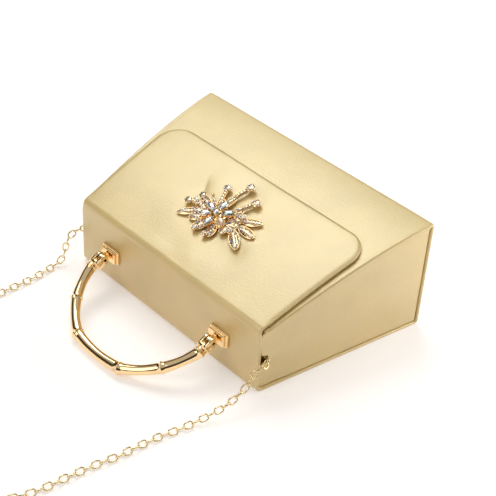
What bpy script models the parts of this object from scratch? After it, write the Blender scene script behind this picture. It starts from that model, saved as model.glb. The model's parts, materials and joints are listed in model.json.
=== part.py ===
"""Satin box purse with a bamboo-shaped metal handle, lying on its back panel.

The purse lies as it is stored on a table: the back panel is down (z = 0), the lid's top panel with the handle
faces -Y, the flap with the brooch faces up, and the deep bottom panel faces +Y. The origin is the centre of the
back panel's outer face. Inside the "purse" frame, y is measured from the outer face of the top panel.
"""
import math

import bmesh
import bpy
import numpy as np
from mathutils import Matrix, Vector

# Body, in metres
HEIGHT = 0.1228
TOP_WIDTH = 0.1655
BOTTOM_WIDTH = 0.2000
TOP_DEPTH = 0.0437
BOTTOM_DEPTH = 0.0756
FRONT_CROWN = 1.45
BOARD = 0.0022
LINING = 0.0006
GAP = 0.0003
EDGE_ROUNDING = 0.0005
BASE_FOLD_RADIUS = 0.0030
FRONT_CORNER_RADIUS = 0.0035
MOUTH_CLEARANCE = 0.0005

# Side gussets and the mouth between them
GUSSET_WALL = 0.0014
GUSSET_INSET = 0.0006
GUSSET_BOW = 0.0045
MOUTH_DROP = 0.0085
MOUTH_DIP = 0.0038
SIDE_DEPTH_SHARES = (0, 0.15, 0.32, 0.5, 0.68, 0.85, 1)
SIDE_ROW_SHARES = (0, 0.2, 0.4, 0.6, 0.8, 1)

# Lid: top panel, flap and their folds
BACK_FOLD_RADIUS = 0.0045
FRONT_FOLD_RADIUS = 0.0050
FLAP_BOARD = 0.0017
FLAP_LINING = 0.0005
FLAP_DROP = 0.0824
FLAP_TOP_WIDTH = 0.1640
FLAP_LOWER_WIDTH = 0.1780
FLAP_CORNER = 0.0178
LINING_MARGIN = 0.0030
TOP_LINING_START = 0.0060

# Hidden magnet catch
MAGNET_RADIUS = 0.0065
MAGNET_THICKNESS = 0.0009
MAGNET_Y = 0.0700

# Handle mounts
HANDLE_SPAN = 0.1018
HANDLE_DEPTH = 0.02365
PIVOT_STANDOFF = 0.0087
MOUNT_WIDTH = 0.0150
MOUNT_HEIGHT = 0.0095
MOUNT_TIER = 0.0020
MOUNT_STEP = 0.0009
LUG_THICKNESS = 0.0020
LUG_RADIUS = 0.0026
PIN_RADIUS = 0.0010
PIN_CLEARANCE = 0.0001
SCREW_RADIUS = 0.0012
SCREW_HEAD_RADIUS = 0.0025
SCREW_HEAD_THICKNESS = 0.0006
WASHER_RADIUS = 0.0034
WASHER_THICKNESS = 0.0004
HARDWARE_GAP = 0.00015

# Handle
HANDLE_REACH = 0.0477
BAR_RADIUS = 0.00325
RING_RADIUS = 0.0041
RING_WIDTH = 0.0020
FORK_WIDTH = 0.0070
FORK_RADIUS = 0.0034
FORK_LENGTH = 0.0068
FORK_ROUNDING = 0.0006
SLOT_CLEARANCE = 0.0003
REST_CLEARANCE = 0.0005
# Ring places from the middle of the bar: share of half the span, share of the reach
RING_PLACE_SHARES = ((1.008, 0.189), (0.805, 0.623), (0.395, 0.957))
SEGMENT_BOW_SHARE = 0.05
SEGMENT_WAIST_SHARE = 0.10
SEGMENT_STATION_SHARES = (0.22, 0.5, 0.78)
RING_SHOULDER_SHARE = 1.04
HANDLE_SIDES = 12

# Brooch, in its own plane: places from the middle of the flower, angles in degrees from +X
BROOCH_X = 0.0009
BROOCH_Y = 0.0401
SETTING_PLATE = 0.0016
SETTING_HUB_RADIUS = 0.0095
SETTING_HUB_HEIGHT = 0.0026
CUP_HEIGHT = 0.0044
CUP_RIM = 0.0004
STONE_SEAT = 0.00015
STONE_HEIGHT = 0.0022
PETAL_LENGTH = 0.0082
PETAL_WIDTH = 0.0046
PETAL_REACH = 0.0076
PETAL_ANGLES = (165, 213, 272, 337, 32, 98)
CENTRE_STONE_RADIUS = 0.0021
CENTRE_POST_HEIGHT = 0.0054
LEAF_LENGTH = 0.0125
LEAF_WIDTH = 0.0054
LEAF_RISE = 0.0012
LEAF_RIDGE_SHARE = 0.45
LEAF_TIP_REACH = 0.0300
LEAF_ANGLES = (26, 3, -22, 207)
LEAF_REACH_SHARES = (0.965, 1.0, 1.0, 0.92)
PAVE_LENGTH = 0.0098
PAVE_WIDTH = 0.0050
PAVE_REACH = 0.0105
PAVE_ANGLES = (192, 244, 296, 55, 128)
PAVE_REACH_SHARES = (1.3, 1.0, 1.0, 1.05, 1.05)
STALK_WIDTH = 0.0019
STEM_TIP_RADIUS = 0.0023
STEM_REACH = 0.0284
STEM_ANGLES = (95, 126, 64)
STEM_REACH_SHARES = (1.0, 0.80, 0.82)
ROUND_STONE_RADIUS = 0.0019
ROUND_REACH = 0.0244
ROUND_ANGLES = (164, 183, -24, 284, 251)
ROUND_REACH_SHARES = (0.955, 1.05, 0.60, 0.60, 0.62)
POST_RADIUS = 0.0008
POST_SPACING = 0.0120
BACK_PLATE_LENGTH = 0.0200
BACK_PLATE_WIDTH = 0.0070
BACK_PLATE_THICKNESS = 0.0005
STONE_TABLE_SHARE = 0.6
STONE_CULET_SHARE = 0.55
STONE_GIRDLE_RISE_SHARE = 0.45

# Chain and its fittings
CHAIN_DIAMETER = 0.0046
CHAIN_SAMPLE = 0.0065
COIL_CENTRE = (-0.0490, -0.1320)
COIL_RADIUS = 0.0296
COIL_PITCH = 0.0051
COIL_TURNS_IN = 2.375
COIL_CLIMB_TURNS = 0.5
COIL_POINTS_PER_TURN = 24
CHAIN_DEPTH = 0.0220
TAB_Y = 0.0200
TAB_LENGTH = 0.0080
TAB_WIDTH = 0.0080
TAB_WALL = 0.0006
TAB_LOOP_DISTANCE = 0.0026
DRING_WIRE = 0.0007
DRING_WIDTH = 0.0104
DRING_LENGTH = 0.0080
DRING_FOOT_SHARES = (-0.5, 0.5)
CLASP_WIRE = 0.0005
CLASP_INNER_RADIUS = 0.00125
CLASP_LENGTH = 0.0058
CLASP_DIRECTION = (0.940, -0.341)

# One length by which a cutter runs past the faces it cuts, and the reach of a weld
OVERRUN = 0.0020
WELD_DISTANCE = 0.00002

# Chain routes in the purse frame, from the fitting inside the mouth to the coil and back
RIGHT_ROUTE = (
    (0.0814, 0.0073, 0.0220), (0.0829, 0.0063, 0.0220), (0.0843, 0.0048, 0.0220),
    (0.0854, 0.0031, 0.0220), (0.0861, 0.0011, 0.0220), (0.0863, -0.0011, 0.0220),
    (0.0863, -0.0037, 0.0216), (0.0863, -0.0062, 0.0206), (0.0863, -0.0082, 0.0189),
    (0.0863, -0.0100, 0.0170), (0.0863, -0.0118, 0.0154), (0.0863, -0.0137, 0.0140),
    (0.0861, -0.0191, 0.0112), (0.0855, -0.0247, 0.0087), (0.0840, -0.0311, 0.0064),
    (0.0822, -0.0377, 0.0046), (0.0805, -0.0444, 0.0033), (0.0790, -0.0512, 0.0026),
    (0.0777, -0.0573, 0.0023), (0.0760, -0.0645, 0.0023), (0.0747, -0.0741, 0.0023),
    (0.0736, -0.0834, 0.0023), (0.0732, -0.0915, 0.0023), (0.0708, -0.1028, 0.0023),
    (0.0681, -0.1205, 0.0023), (0.0661, -0.1381, 0.0023), (0.0632, -0.1480, 0.0023),
    (0.0584, -0.1590, 0.0023), (0.0475, -0.1680, 0.0023), (0.0300, -0.1705, 0.0023),
    (0.0100, -0.1680, 0.0023), (-0.0080, -0.1635, 0.0023), (-0.0240, -0.1609, 0.0023),
)
LEFT_ROUTE = (
    (-0.0814, 0.0073, 0.0220), (-0.0829, 0.0063, 0.0220), (-0.0843, 0.0048, 0.0220),
    (-0.0854, 0.0031, 0.0220), (-0.0861, 0.0011, 0.0220), (-0.0863, -0.0011, 0.0220),
    (-0.0863, -0.0052, 0.0211), (-0.0863, -0.0086, 0.0185), (-0.0863, -0.0105, 0.0147),
    (-0.0863, -0.0119, 0.0095), (-0.0863, -0.0139, 0.0058), (-0.0863, -0.0173, 0.0032),
    (-0.0862, -0.0214, 0.0023), (-0.0854, -0.0270, 0.0023), (-0.0845, -0.0330, 0.0023),
    (-0.0839, -0.0410, 0.0023), (-0.0840, -0.0630, 0.0023), (-0.0832, -0.0800, 0.0023),
    (-0.0812, -0.0945, 0.0027), (-0.0790, -0.1070, 0.0048), (-0.0776, -0.1160, 0.0068),
)

COLOURS = {
    "satin": (0.62, 0.50, 0.27, 1.0),
    "lining": (0.55, 0.44, 0.26, 1.0),
    "gold": (0.86, 0.58, 0.30, 1.0),
    "chain_gold": (0.85, 0.66, 0.34, 1.0),
    "crystal": (0.90, 0.92, 0.93, 1.0),
    "amber": (0.70, 0.47, 0.30, 1.0),
    "grey_green": (0.45, 0.55, 0.50, 1.0),
    "steel": (0.55, 0.55, 0.56, 1.0),
}


def principled(name, colour, roughness, metallic):
    """A material with one Principled BSDF."""
    material = bpy.data.materials.new(name)
    material.use_nodes = True
    shader = material.node_tree.nodes["Principled BSDF"]
    shader.inputs["Base Color"].default_value = colour
    shader.inputs["Roughness"].default_value = roughness
    shader.inputs["Metallic"].default_value = metallic
    return material


def satin(name):
    """Pale gold satin over board."""
    return principled(name + "_satin", COLOURS["satin"], 0.42, 0.35)


def lining_cloth(name):
    """Thin woven lining."""
    return principled(name + "_lining", COLOURS["lining"], 0.75, 0.0)


def gold(name):
    """Polished rose gold plating of the handle and the brooch."""
    return principled(name + "_gold", COLOURS["gold"], 0.12, 1.0)


def chain_gold(name):
    """Paler gold plating of the chain and its fittings."""
    return principled(name + "_chain_gold", COLOURS["chain_gold"], 0.2, 1.0)


def stone(colour_name):
    """Returns a maker of cut glass materials in one named colour."""
    def make(name):
        return principled(name + "_" + colour_name, COLOURS[colour_name], 0.04, 0.0)
    return make


def steel(name):
    """Plain steel of the screws, washers, magnets and back plate."""
    return principled(name + "_steel", COLOURS["steel"], 0.35, 1.0)


def clear_scene():
    """Empties the file's scene."""
    for thing in list(bpy.data.objects):
        bpy.data.objects.remove(thing, do_unlink=True)


def empty(name, parent, location):
    """A frame that pieces hang from, placed in its parent's frame."""
    frame = bpy.data.objects.new(name, None)
    bpy.context.scene.collection.objects.link(frame)
    frame.parent = parent
    frame.location = location
    bpy.context.view_layer.update()
    return frame


def carry(piece, carrier, purse):
    """Hangs a piece that is placed in the purse frame from the empty of the joint that moves it."""
    piece.parent = carrier
    piece.matrix_parent_inverse = carrier.matrix_world.inverted() @ purse.matrix_world
    return piece


def solid(name, faces_of, dress, smooth=True):
    """Makes an object from a function that fills a bmesh, with its faces turned outwards."""
    mesh = bpy.data.meshes.new(name)
    shape = bmesh.new()
    faces_of(shape)
    bmesh.ops.recalc_face_normals(shape, faces=shape.faces[:])
    shape.to_mesh(mesh)
    shape.free()
    if smooth:
        mesh.shade_smooth()
        mesh.set_sharp_from_angle(angle=math.radians(35))
    if dress:
        mesh.materials.append(dress(name))
    piece = bpy.data.objects.new(name, mesh)
    bpy.context.scene.collection.objects.link(piece)
    return piece


def loft(name, rings, dress=None, closed=False):
    """A solid skinned over rings with the same count of points, capped at its ends or run into itself."""
    def fill(shape):
        loops = [[shape.verts.new(point) for point in ring] for ring in rings]
        pairs = list(zip(loops, loops[1:]))
        if closed:
            pairs.append((loops[-1], loops[0]))
        else:
            shape.faces.new(loops[0])
            shape.faces.new(loops[-1])
        for first, second in pairs:
            for i in range(len(first)):
                j = (i + 1) % len(first)
                shape.faces.new((first[i], first[j], second[j], second[i]))
    return solid(name, fill, dress)


def plate(name, outer, inner, dress):
    """A curved sheet with a thickness, from two grids of rows with the same counts of points."""
    def fill(shape):
        layers = [[[shape.verts.new(point) for point in row] for row in grid] for grid in (outer, inner)]
        for grid in layers:
            for first, second in zip(grid, grid[1:]):
                for i in range(len(first) - 1):
                    shape.faces.new((first[i], first[i + 1], second[i + 1], second[i]))
        rims = []
        for grid in layers:
            down = [row[-1] for row in grid[1:-1]]
            up = [row[0] for row in grid[-2:0:-1]]
            rims.append(grid[0] + down + grid[-1][::-1] + up)
        for i in range(len(rims[0])):
            j = (i + 1) % len(rims[0])
            shape.faces.new((rims[0][i], rims[0][j], rims[1][j], rims[1][i]))
    return solid(name, fill, dress)


def circle(radius, sides, centre=(0, 0), start=0.0):
    """Points of a circle in a plane."""
    return [(centre[0] + radius * math.cos(start + math.tau * i / sides),
             centre[1] + radius * math.sin(start + math.tau * i / sides)) for i in range(sides)]


def prism(name, outline, low, high, dress=None):
    """An outline in the XY plane, raised from one height to another."""
    return loft(name, [[(x, y, z) for x, y in outline] for z in (low, high)], dress)


def turned(name, steps, sides, dress=None):
    """A solid of revolution about Z from (radius, height) steps."""
    return loft(name, [[(x, y, height) for x, y in circle(radius, sides)] for radius, height in steps], dress)


def planar_sweep(name, points, radii, sides, dress=None, closed=False):
    """A round bar along a path in the XY plane, with one radius for each point of the path."""
    path = np.array(points)
    ahead = np.roll(path, -1, axis=0)
    behind = np.roll(path, 1, axis=0)
    if not closed:
        ahead[-1] = path[-1]
        behind[0] = path[0]
    heading = ahead - behind
    heading /= np.linalg.norm(heading, axis=1)[:, None]
    rings = []
    for (x, y), (along_x, along_y), radius in zip(path, heading, radii):
        turn = np.arange(sides) * math.tau / sides
        side = radius * np.cos(turn)
        rings.append(np.stack([x - along_y * side, y + along_x * side, radius * np.sin(turn)], 1))
    return loft(name, rings, dress, closed)


def bevel(piece, width, angle=40, segments=2):
    """Rounds a piece's sharp edges."""
    modifier = piece.modifiers.new("rounding", "BEVEL")
    modifier.width = width
    modifier.segments = segments
    modifier.limit_method = "ANGLE"
    modifier.angle_limit = math.radians(angle)
    weld = piece.modifiers.new("weld", "WELD")
    weld.merge_threshold = WELD_DISTANCE
    return piece


def combine(piece, tool, operation):
    """Adds a Boolean that joins or cuts with a tool, which is kept out of the model itself."""
    modifier = piece.modifiers.new(operation.lower() + "_" + tool.name, "BOOLEAN")
    modifier.operation = operation
    modifier.object = tool
    tool.hide_render = True
    tool.display_type = "WIRE"
    tool.parent = piece.parent
    tool.matrix_parent_inverse = piece.matrix_parent_inverse
    return piece


def half_width(y):
    """Half the width of the body's panels, which widen evenly from top to bottom."""
    return (TOP_WIDTH + (BOTTOM_WIDTH - TOP_WIDTH) * y / HEIGHT) / 2


def front_slope(y):
    """How steeply the front rises towards the bottom."""
    left = max(1 - y / HEIGHT, 0)
    return (BOTTOM_DEPTH - TOP_DEPTH) / HEIGHT * FRONT_CROWN * left ** (FRONT_CROWN - 1)


def front(y, offset):
    """Height of the surface that lies an offset outside the front panel's outer face."""
    left = max(1 - y / HEIGHT, 0)
    depth = TOP_DEPTH + (BOTTOM_DEPTH - TOP_DEPTH) * (1 - left ** FRONT_CROWN)
    return depth + offset * math.hypot(1, front_slope(y))


def corner_inset(distance, radius):
    """How far a rounded corner draws a side in, at a distance from the end."""
    if distance >= radius:
        return 0
    return radius - math.sqrt(radius ** 2 - (radius - distance) ** 2)


def side_face(share, y):
    """Distance of a gusset's outer face from the middle, bowed inwards between back and front."""
    bow = GUSSET_BOW * 4 * share * (1 - share) * (1 - y / HEIGHT)
    return half_width(y) - GUSSET_INSET - bow


def mouth_y(share):
    """Where the side of the mouth lies, dipping at mid depth to let the chain out."""
    return MOUTH_DROP + MOUTH_DIP * (4 * share * (1 - share)) ** 2


FLAP_LIFT = FLAP_BOARD + GAP + FLAP_LINING + GAP
FOLD_TURN = math.pi / 2 - math.atan(front_slope(0))
FOLD_TANGENT = FRONT_FOLD_RADIUS * math.tan(FOLD_TURN / 2)
LID_DEPTH = front(0, FLAP_LIFT)
FRONT_FOLD_CENTRE = (FRONT_FOLD_RADIUS, LID_DEPTH - FOLD_TANGENT)
LID_AXIS = (BACK_FOLD_RADIUS * (1 - math.cos(math.pi / 4)), BACK_FOLD_RADIUS * (1 - math.sin(math.pi / 4)))
FLAP_AXIS = (FRONT_FOLD_RADIUS * (1 - math.cos(FOLD_TURN / 2)),
             FRONT_FOLD_CENTRE[1] + FRONT_FOLD_RADIUS * math.sin(FOLD_TURN / 2))
DROOP = math.asin((HANDLE_DEPTH - RING_RADIUS - REST_CLEARANCE) / (RING_PLACE_SHARES[2][1] * HANDLE_REACH))
CHAIN_RADIUS = CHAIN_DIAMETER / 2


def fold(centre, radius, wall, start, end, steps, first, second):
    """Outer and inner points of a fold: from the direction first, turning towards the direction second."""
    pairs = []
    for turn in np.linspace(start, end, steps):
        y = math.cos(turn) * first[0] + math.sin(turn) * second[0]
        z = math.cos(turn) * first[1] + math.sin(turn) * second[1]
        outer = (centre[0] + radius * y, centre[1] + radius * z)
        inner = (centre[0] + (radius - wall) * y, centre[1] + (radius - wall) * z)
        pairs.append((outer, inner))
    return pairs


def split_angle(radius, wall):
    """Half the angle left open where two boards meet in a fold."""
    return GAP / 2 / (radius - wall)


def panel(name, pairs, halves, dress):
    """A board across the purse: one station for each pair of outer and inner points in the YZ plane."""
    rings = []
    for (outer, inner), half in zip(pairs, halves):
        rings.append([(-half, *outer), (half, *outer), (half, *inner), (-half, *inner)])
    return loft(name, rings, dress)


BACK_WARDS = (0, -1)
TOP_WARDS = (-1, 0)
BASE_WARDS = (1, 0)
FRONT_WARDS = (0, 1)
QUARTER = math.pi / 2


def back_panel():
    """The panel that the purse lies on, from the lid's fold to the middle of the base fold."""
    lid_split = QUARTER / 2 - split_angle(BACK_FOLD_RADIUS, BOARD)
    base_split = QUARTER / 2 - split_angle(BASE_FOLD_RADIUS, BOARD)
    lid_centre = (BACK_FOLD_RADIUS, BACK_FOLD_RADIUS)
    base_centre = (HEIGHT - BASE_FOLD_RADIUS, BASE_FOLD_RADIUS)
    pairs = fold(lid_centre, BACK_FOLD_RADIUS, BOARD, lid_split, 0, 4, BACK_WARDS, TOP_WARDS)
    pairs += fold(base_centre, BASE_FOLD_RADIUS, BOARD, 0, base_split, 4, BACK_WARDS, BASE_WARDS)
    halves = [half_width(outer[0]) for outer, _ in pairs]
    return bevel(panel("back_panel", pairs, halves, satin), EDGE_ROUNDING)


def bottom_panel():
    """The deep panel that the purse stands on in use, mitred to the front panel."""
    start = QUARTER / 2 + split_angle(BASE_FOLD_RADIUS, BOARD)
    centre = (HEIGHT - BASE_FOLD_RADIUS, BASE_FOLD_RADIUS)
    pairs = fold(centre, BASE_FOLD_RADIUS, BOARD, start, QUARTER, 4, BACK_WARDS, BASE_WARDS)
    mitre = GAP / math.sqrt(2)
    inner_y = HEIGHT - BOARD
    pairs.append(((HEIGHT, BOTTOM_DEPTH - mitre), (inner_y, front(inner_y, -BOARD) - mitre)))
    halves = [half_width(outer[0]) for outer, _ in pairs]
    return bevel(panel("bottom_panel", pairs, halves, satin), EDGE_ROUNDING)


def front_panel():
    """The bowed front, with rounded corners at the mouth and a recess for its magnet."""
    top = BOARD + GAP + LINING + MOUTH_CLEARANCE
    mitre = GAP / math.sqrt(2)
    corner = [top + FRONT_CORNER_RADIUS * (1 - math.cos(turn)) for turn in np.linspace(0, QUARTER, 5)[:-1]]
    field = np.linspace(top + FRONT_CORNER_RADIUS, HEIGHT - mitre, 9)
    stations = corner + list(field)
    pairs = [((y, front(y, 0)), (y, front(y, -BOARD))) for y in stations[:-1]]
    inner_y = HEIGHT - BOARD - mitre
    pairs.append(((stations[-1], front(stations[-1], 0)), (inner_y, front(inner_y, -BOARD))))
    halves = [half_width(y) - corner_inset(y - top, FRONT_CORNER_RADIUS) for y in stations]
    return panel("front_panel", pairs, halves, satin)


def gusset(side):
    """A side of the body, between back and front boards, bowed inwards near the mouth."""
    base = HEIGHT - BOARD - GAP
    low = BOARD + GAP
    outer, inner = [], []
    for row in SIDE_ROW_SHARES:
        places = []
        for share in SIDE_DEPTH_SHARES[::side]:
            y = mouth_y(share) + row * (base - mouth_y(share))
            high = front(y, -BOARD - GAP)
            places.append((side_face(share, y), y, low + share * (high - low)))
        outer.append([(side * x, y, z) for x, y, z in places])
        inner.append([(side * (x - GUSSET_WALL), y, z) for x, y, z in places])
    return plate("gusset_right" if side > 0 else "gusset_left", outer, inner, satin)


def lining_x(share, y):
    """Distance of the pouch lining's outer face from the middle."""
    return side_face(share, y) - GUSSET_WALL - GAP


def pouch_ring(row, inset, base):
    """One ring round the pouch: up its right side, across the front, down its left side."""
    right = []
    for share in SIDE_DEPTH_SHARES:
        y = mouth_y(share) + row * (base - mouth_y(share))
        low = BOARD + GAP + inset
        high = front(y, -BOARD - GAP - inset)
        right.append((lining_x(share, y) - inset, y, low + share * (high - low)))
    left = [(-x, y, z) for x, y, z in reversed(right)]
    return right + left


def pouch_lining():
    """The lining of the body, an open pouch with thin walls."""
    base = HEIGHT - BOARD - GAP
    inside = [pouch_ring(row, LINING, base - LINING) for row in reversed(SIDE_ROW_SHARES)]
    outside = [pouch_ring(row, 0, base) for row in SIDE_ROW_SHARES]
    return loft("pouch_lining", inside + outside, lining_cloth)


def top_panel():
    """The lid's upright panel, from the middle of the back fold to the middle of the front fold."""
    start = QUARTER / 2 + split_angle(BACK_FOLD_RADIUS, BOARD)
    end = FOLD_TURN / 2 - split_angle(FRONT_FOLD_RADIUS, BOARD)
    back_centre = (BACK_FOLD_RADIUS, BACK_FOLD_RADIUS)
    pairs = fold(back_centre, BACK_FOLD_RADIUS, BOARD, start, QUARTER, 4, BACK_WARDS, TOP_WARDS)
    pairs += fold(FRONT_FOLD_CENTRE, FRONT_FOLD_RADIUS, BOARD, 0, end, 4, TOP_WARDS, FRONT_WARDS)
    halves = [TOP_WIDTH / 2] * len(pairs)
    return bevel(panel("top_panel", pairs, halves, satin), EDGE_ROUNDING)


def top_lining():
    """The lining under the top panel."""
    low = TOP_LINING_START
    high = TOP_DEPTH - LINING_MARGIN
    half = TOP_WIDTH / 2 - LINING_MARGIN
    outer, inner = BOARD + GAP, BOARD + GAP + LINING
    pairs = [((outer, low), (inner, low)), ((outer, high), (inner, high))]
    return panel("top_lining", pairs, [half, half], lining_cloth)


def flap_half(y):
    """Half the flap's width at a distance from the top, without its rounded corners."""
    return (FLAP_TOP_WIDTH + (FLAP_LOWER_WIDTH - FLAP_TOP_WIDTH) * y / FLAP_DROP) / 2


def corner_stations(end, radius, steps):
    """Distances along a rounded corner, evenly spaced round its quarter circle."""
    return [end - radius * (1 - math.sin(turn)) for turn in np.linspace(0, QUARTER, steps)]


def flap_panel():
    """The flap over the front, with rounded lower corners, from the middle of the front fold."""
    start = FOLD_TURN / 2 + split_angle(FRONT_FOLD_RADIUS, FLAP_BOARD)
    pairs = fold(FRONT_FOLD_CENTRE, FRONT_FOLD_RADIUS, FLAP_BOARD, start, FOLD_TURN, 4, TOP_WARDS, FRONT_WARDS)
    first = pairs[-1][1][0] + FLAP_BOARD
    field = list(np.linspace(first, FLAP_DROP - FLAP_CORNER, 7))
    corner = corner_stations(FLAP_DROP, FLAP_CORNER, 7)
    stations = field[:-1] + corner
    pairs += [((y, front(y, FLAP_LIFT)), (y, front(y, FLAP_LIFT - FLAP_BOARD))) for y in stations]
    halves = [flap_half(outer[0]) - corner_inset(FLAP_DROP - outer[0], FLAP_CORNER) for outer, _ in pairs]
    return bevel(panel("flap_panel", pairs, halves, satin), EDGE_ROUNDING)


def flap_lining():
    """The lining under the flap, a margin inside its outline."""
    end = FLAP_DROP - LINING_MARGIN
    radius = FLAP_CORNER - LINING_MARGIN
    first = FRONT_FOLD_RADIUS + LINING_MARGIN
    field = list(np.linspace(first, end - radius, 6))
    stations = field[:-1] + corner_stations(end, radius, 6)
    outer = FLAP_LIFT - FLAP_BOARD - GAP
    pairs = [((y, front(y, outer)), (y, front(y, outer - FLAP_LINING))) for y in stations]
    halves = [flap_half(y) - LINING_MARGIN - corner_inset(end - y, radius) for y in stations]
    return panel("flap_lining", pairs, halves, lining_cloth)


def on_front(piece, x, y, offset):
    """Places a piece at the surface that lies an offset outside the front, square to it."""
    piece.location = (x, y, front(y, offset))
    piece.rotation_euler = (math.atan(front_slope(y)), 0, 0)
    return piece


def magnet(name, offset):
    """A magnet disc whose outer face lies at an offset from the front's surface."""
    disc = turned(name, [(MAGNET_RADIUS, 0), (MAGNET_RADIUS, -MAGNET_THICKNESS)], 24, steel)
    return on_front(disc, 0, MAGNET_Y, offset)


def magnet_recess(name, inside):
    """The pocket that a magnet lies in, open towards the inner face of its board."""
    depth = MAGNET_THICKNESS + GAP
    hole = turned(name, [(MAGNET_RADIUS + GAP, 0), (MAGNET_RADIUS + GAP, -depth - OVERRUN)], 24)
    return on_front(hole, 0, MAGNET_Y, inside + depth)


def mount_block(name, reach, inset):
    """One tier of a handle mount, standing out from the top panel."""
    half_x = MOUNT_WIDTH / 2 - inset
    half_z = MOUNT_HEIGHT / 2 - inset
    outline = [(-half_x, -half_z), (half_x, -half_z), (half_x, half_z), (-half_x, half_z)]
    return prism(name, outline, 0, reach, gold)


def lug_outline():
    """A lug's side view, round about the pin and straight down into the mount."""
    turns = np.linspace(0, math.pi, 9)
    height = PIVOT_STANDOFF - GAP
    tip = [(LUG_RADIUS * math.cos(turn), height + LUG_RADIUS * math.sin(turn)) for turn in turns]
    return tip + [(-LUG_RADIUS, MOUNT_TIER), (LUG_RADIUS, MOUNT_TIER)]


def outwards():
    """Turns a piece made upright, along +Z, so that it stands out of the top panel, along -Y."""
    return (QUARTER, 0, 0)


def across():
    """Turns a piece made upright so that it lies across the purse, along X."""
    return (0, QUARTER, 0)


def mount_place(side):
    """Where a mount's foot meets the top panel."""
    return (side * HANDLE_SPAN / 2, -GAP, HANDLE_DEPTH)


def handle_mount(side, word):
    """A two-tier mount with the lug that the handle's fork straddles, bored for its pin and screw."""
    foot = mount_block("handle_mount_" + word, MOUNT_TIER, 0)
    bevel(foot, EDGE_ROUNDING)
    tier = mount_block("mount_tier_" + word, MOUNT_TIER * 2, MOUNT_STEP)
    bevel(tier, EDGE_ROUNDING)
    half = LUG_THICKNESS / 2
    rings = [[(x, -z, y) for z, y in lug_outline()] for x in (-half, half)]
    lug = loft("mount_lug_" + word, rings)
    bore = turned("mount_bore_" + word, [(PIN_RADIUS + PIN_CLEARANCE, -half - OVERRUN),
                                         (PIN_RADIUS + PIN_CLEARANCE, half + OVERRUN)], 20)
    socket = turned("mount_socket_" + word, [(SCREW_RADIUS + GAP, -OVERRUN),
                                             (SCREW_RADIUS + GAP, screw_reach())], 20)
    for piece in (foot, tier, lug, socket):
        piece.location = mount_place(side)
        piece.rotation_euler = outwards()
    bore.location = (side * HANDLE_SPAN / 2, -PIVOT_STANDOFF, HANDLE_DEPTH)
    bore.rotation_euler = across()
    return foot, (tier, lug), (bore, socket)


def screw_reach():
    """How deep a screw goes into its mount, with the socket's clearance at its end."""
    return MOUNT_TIER * 2 - LUG_THICKNESS / 2 + GAP


def recess_roof():
    """Depth, inside the top panel, at which the recess for a screw head starts."""
    stack = HARDWARE_GAP * 3 + WASHER_THICKNESS + SCREW_HEAD_THICKNESS
    return BOARD - stack


def screw_holes(side, word):
    """The hole and the recess behind one mount."""
    bore = SCREW_RADIUS + GAP
    shank = turned("screw_hole_" + word, [(bore, -BOARD - OVERRUN), (bore, OVERRUN)], 20)
    recess = turned("screw_recess_" + word, [(WASHER_RADIUS + GAP, -BOARD - OVERRUN),
                                             (WASHER_RADIUS + GAP, -recess_roof())], 20)
    for tool in (shank, recess):
        tool.location = (side * HANDLE_SPAN / 2, 0, HANDLE_DEPTH)
        tool.rotation_euler = outwards()
    return shank, recess


def mount_washer(side, word):
    """The washer under a screw's head, in the recess."""
    inner = SCREW_RADIUS + HARDWARE_GAP
    top = -recess_roof() - HARDWARE_GAP
    low = top - WASHER_THICKNESS
    rings = []
    for (x, y) in circle(1, 20):
        rings.append([(inner * x, inner * y, low), (WASHER_RADIUS * x, WASHER_RADIUS * y, low),
                      (WASHER_RADIUS * x, WASHER_RADIUS * y, top), (inner * x, inner * y, top)])
    washer = loft("mount_washer_" + word, rings, steel, closed=True)
    washer.location = (side * HANDLE_SPAN / 2, 0, HANDLE_DEPTH)
    washer.rotation_euler = outwards()
    return washer


def mount_screw(side, word):
    """The screw that holds a mount from inside the lid."""
    head_top = -recess_roof() - HARDWARE_GAP * 2 - WASHER_THICKNESS
    head_low = head_top - SCREW_HEAD_THICKNESS
    steps = [(SCREW_HEAD_RADIUS, head_low), (SCREW_HEAD_RADIUS, head_top), (SCREW_RADIUS, head_top),
             (SCREW_RADIUS, screw_reach())]
    screw = turned("mount_screw_" + word, steps, 16, steel)
    screw.location = (side * HANDLE_SPAN / 2, 0, HANDLE_DEPTH)
    screw.rotation_euler = outwards()
    return screw


def ring_places():
    """The ring places along the handle, from the right fork over the bar to the left fork."""
    right = [(x * HANDLE_SPAN / 2, -reach * HANDLE_REACH) for x, reach in RING_PLACE_SHARES]
    left = [(-x, y) for x, y in reversed(right)]
    start = (HANDLE_SPAN / 2, -FORK_LENGTH + FORK_RADIUS)
    return [start] + right + left + [(-start[0], start[1])]


def bamboo_stations():
    """Path points and radii of the handle: waisted segments with a sharp ring at each joint."""
    places = [np.array(place) for place in ring_places()]
    points, radii = [places[0]], [BAR_RADIUS]
    for index, (start, end) in enumerate(zip(places, places[1:])):
        run = end - start
        length = np.linalg.norm(run)
        outward = np.array((-run[1], run[0])) / length
        if outward @ (start + end) < 0:
            outward = -outward
        shoulder = RING_WIDTH / 2 / length
        shares = list(SEGMENT_STATION_SHARES)
        if index > 0:
            shares = [shoulder] + shares
        if index < len(places) - 2:
            shares = shares + [1 - shoulder]
        for share in shares:
            bow = SEGMENT_BOW_SHARE * length * 4 * share * (1 - share)
            waist = 1 - SEGMENT_WAIST_SHARE * math.sin(math.pi * share) ** 2
            points.append(start + share * run + bow * outward)
            radii.append(BAR_RADIUS * RING_SHOULDER_SHARE * waist)
        points.append(end)
        radii.append(RING_RADIUS if index < len(places) - 2 else BAR_RADIUS)
    return points, radii


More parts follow.
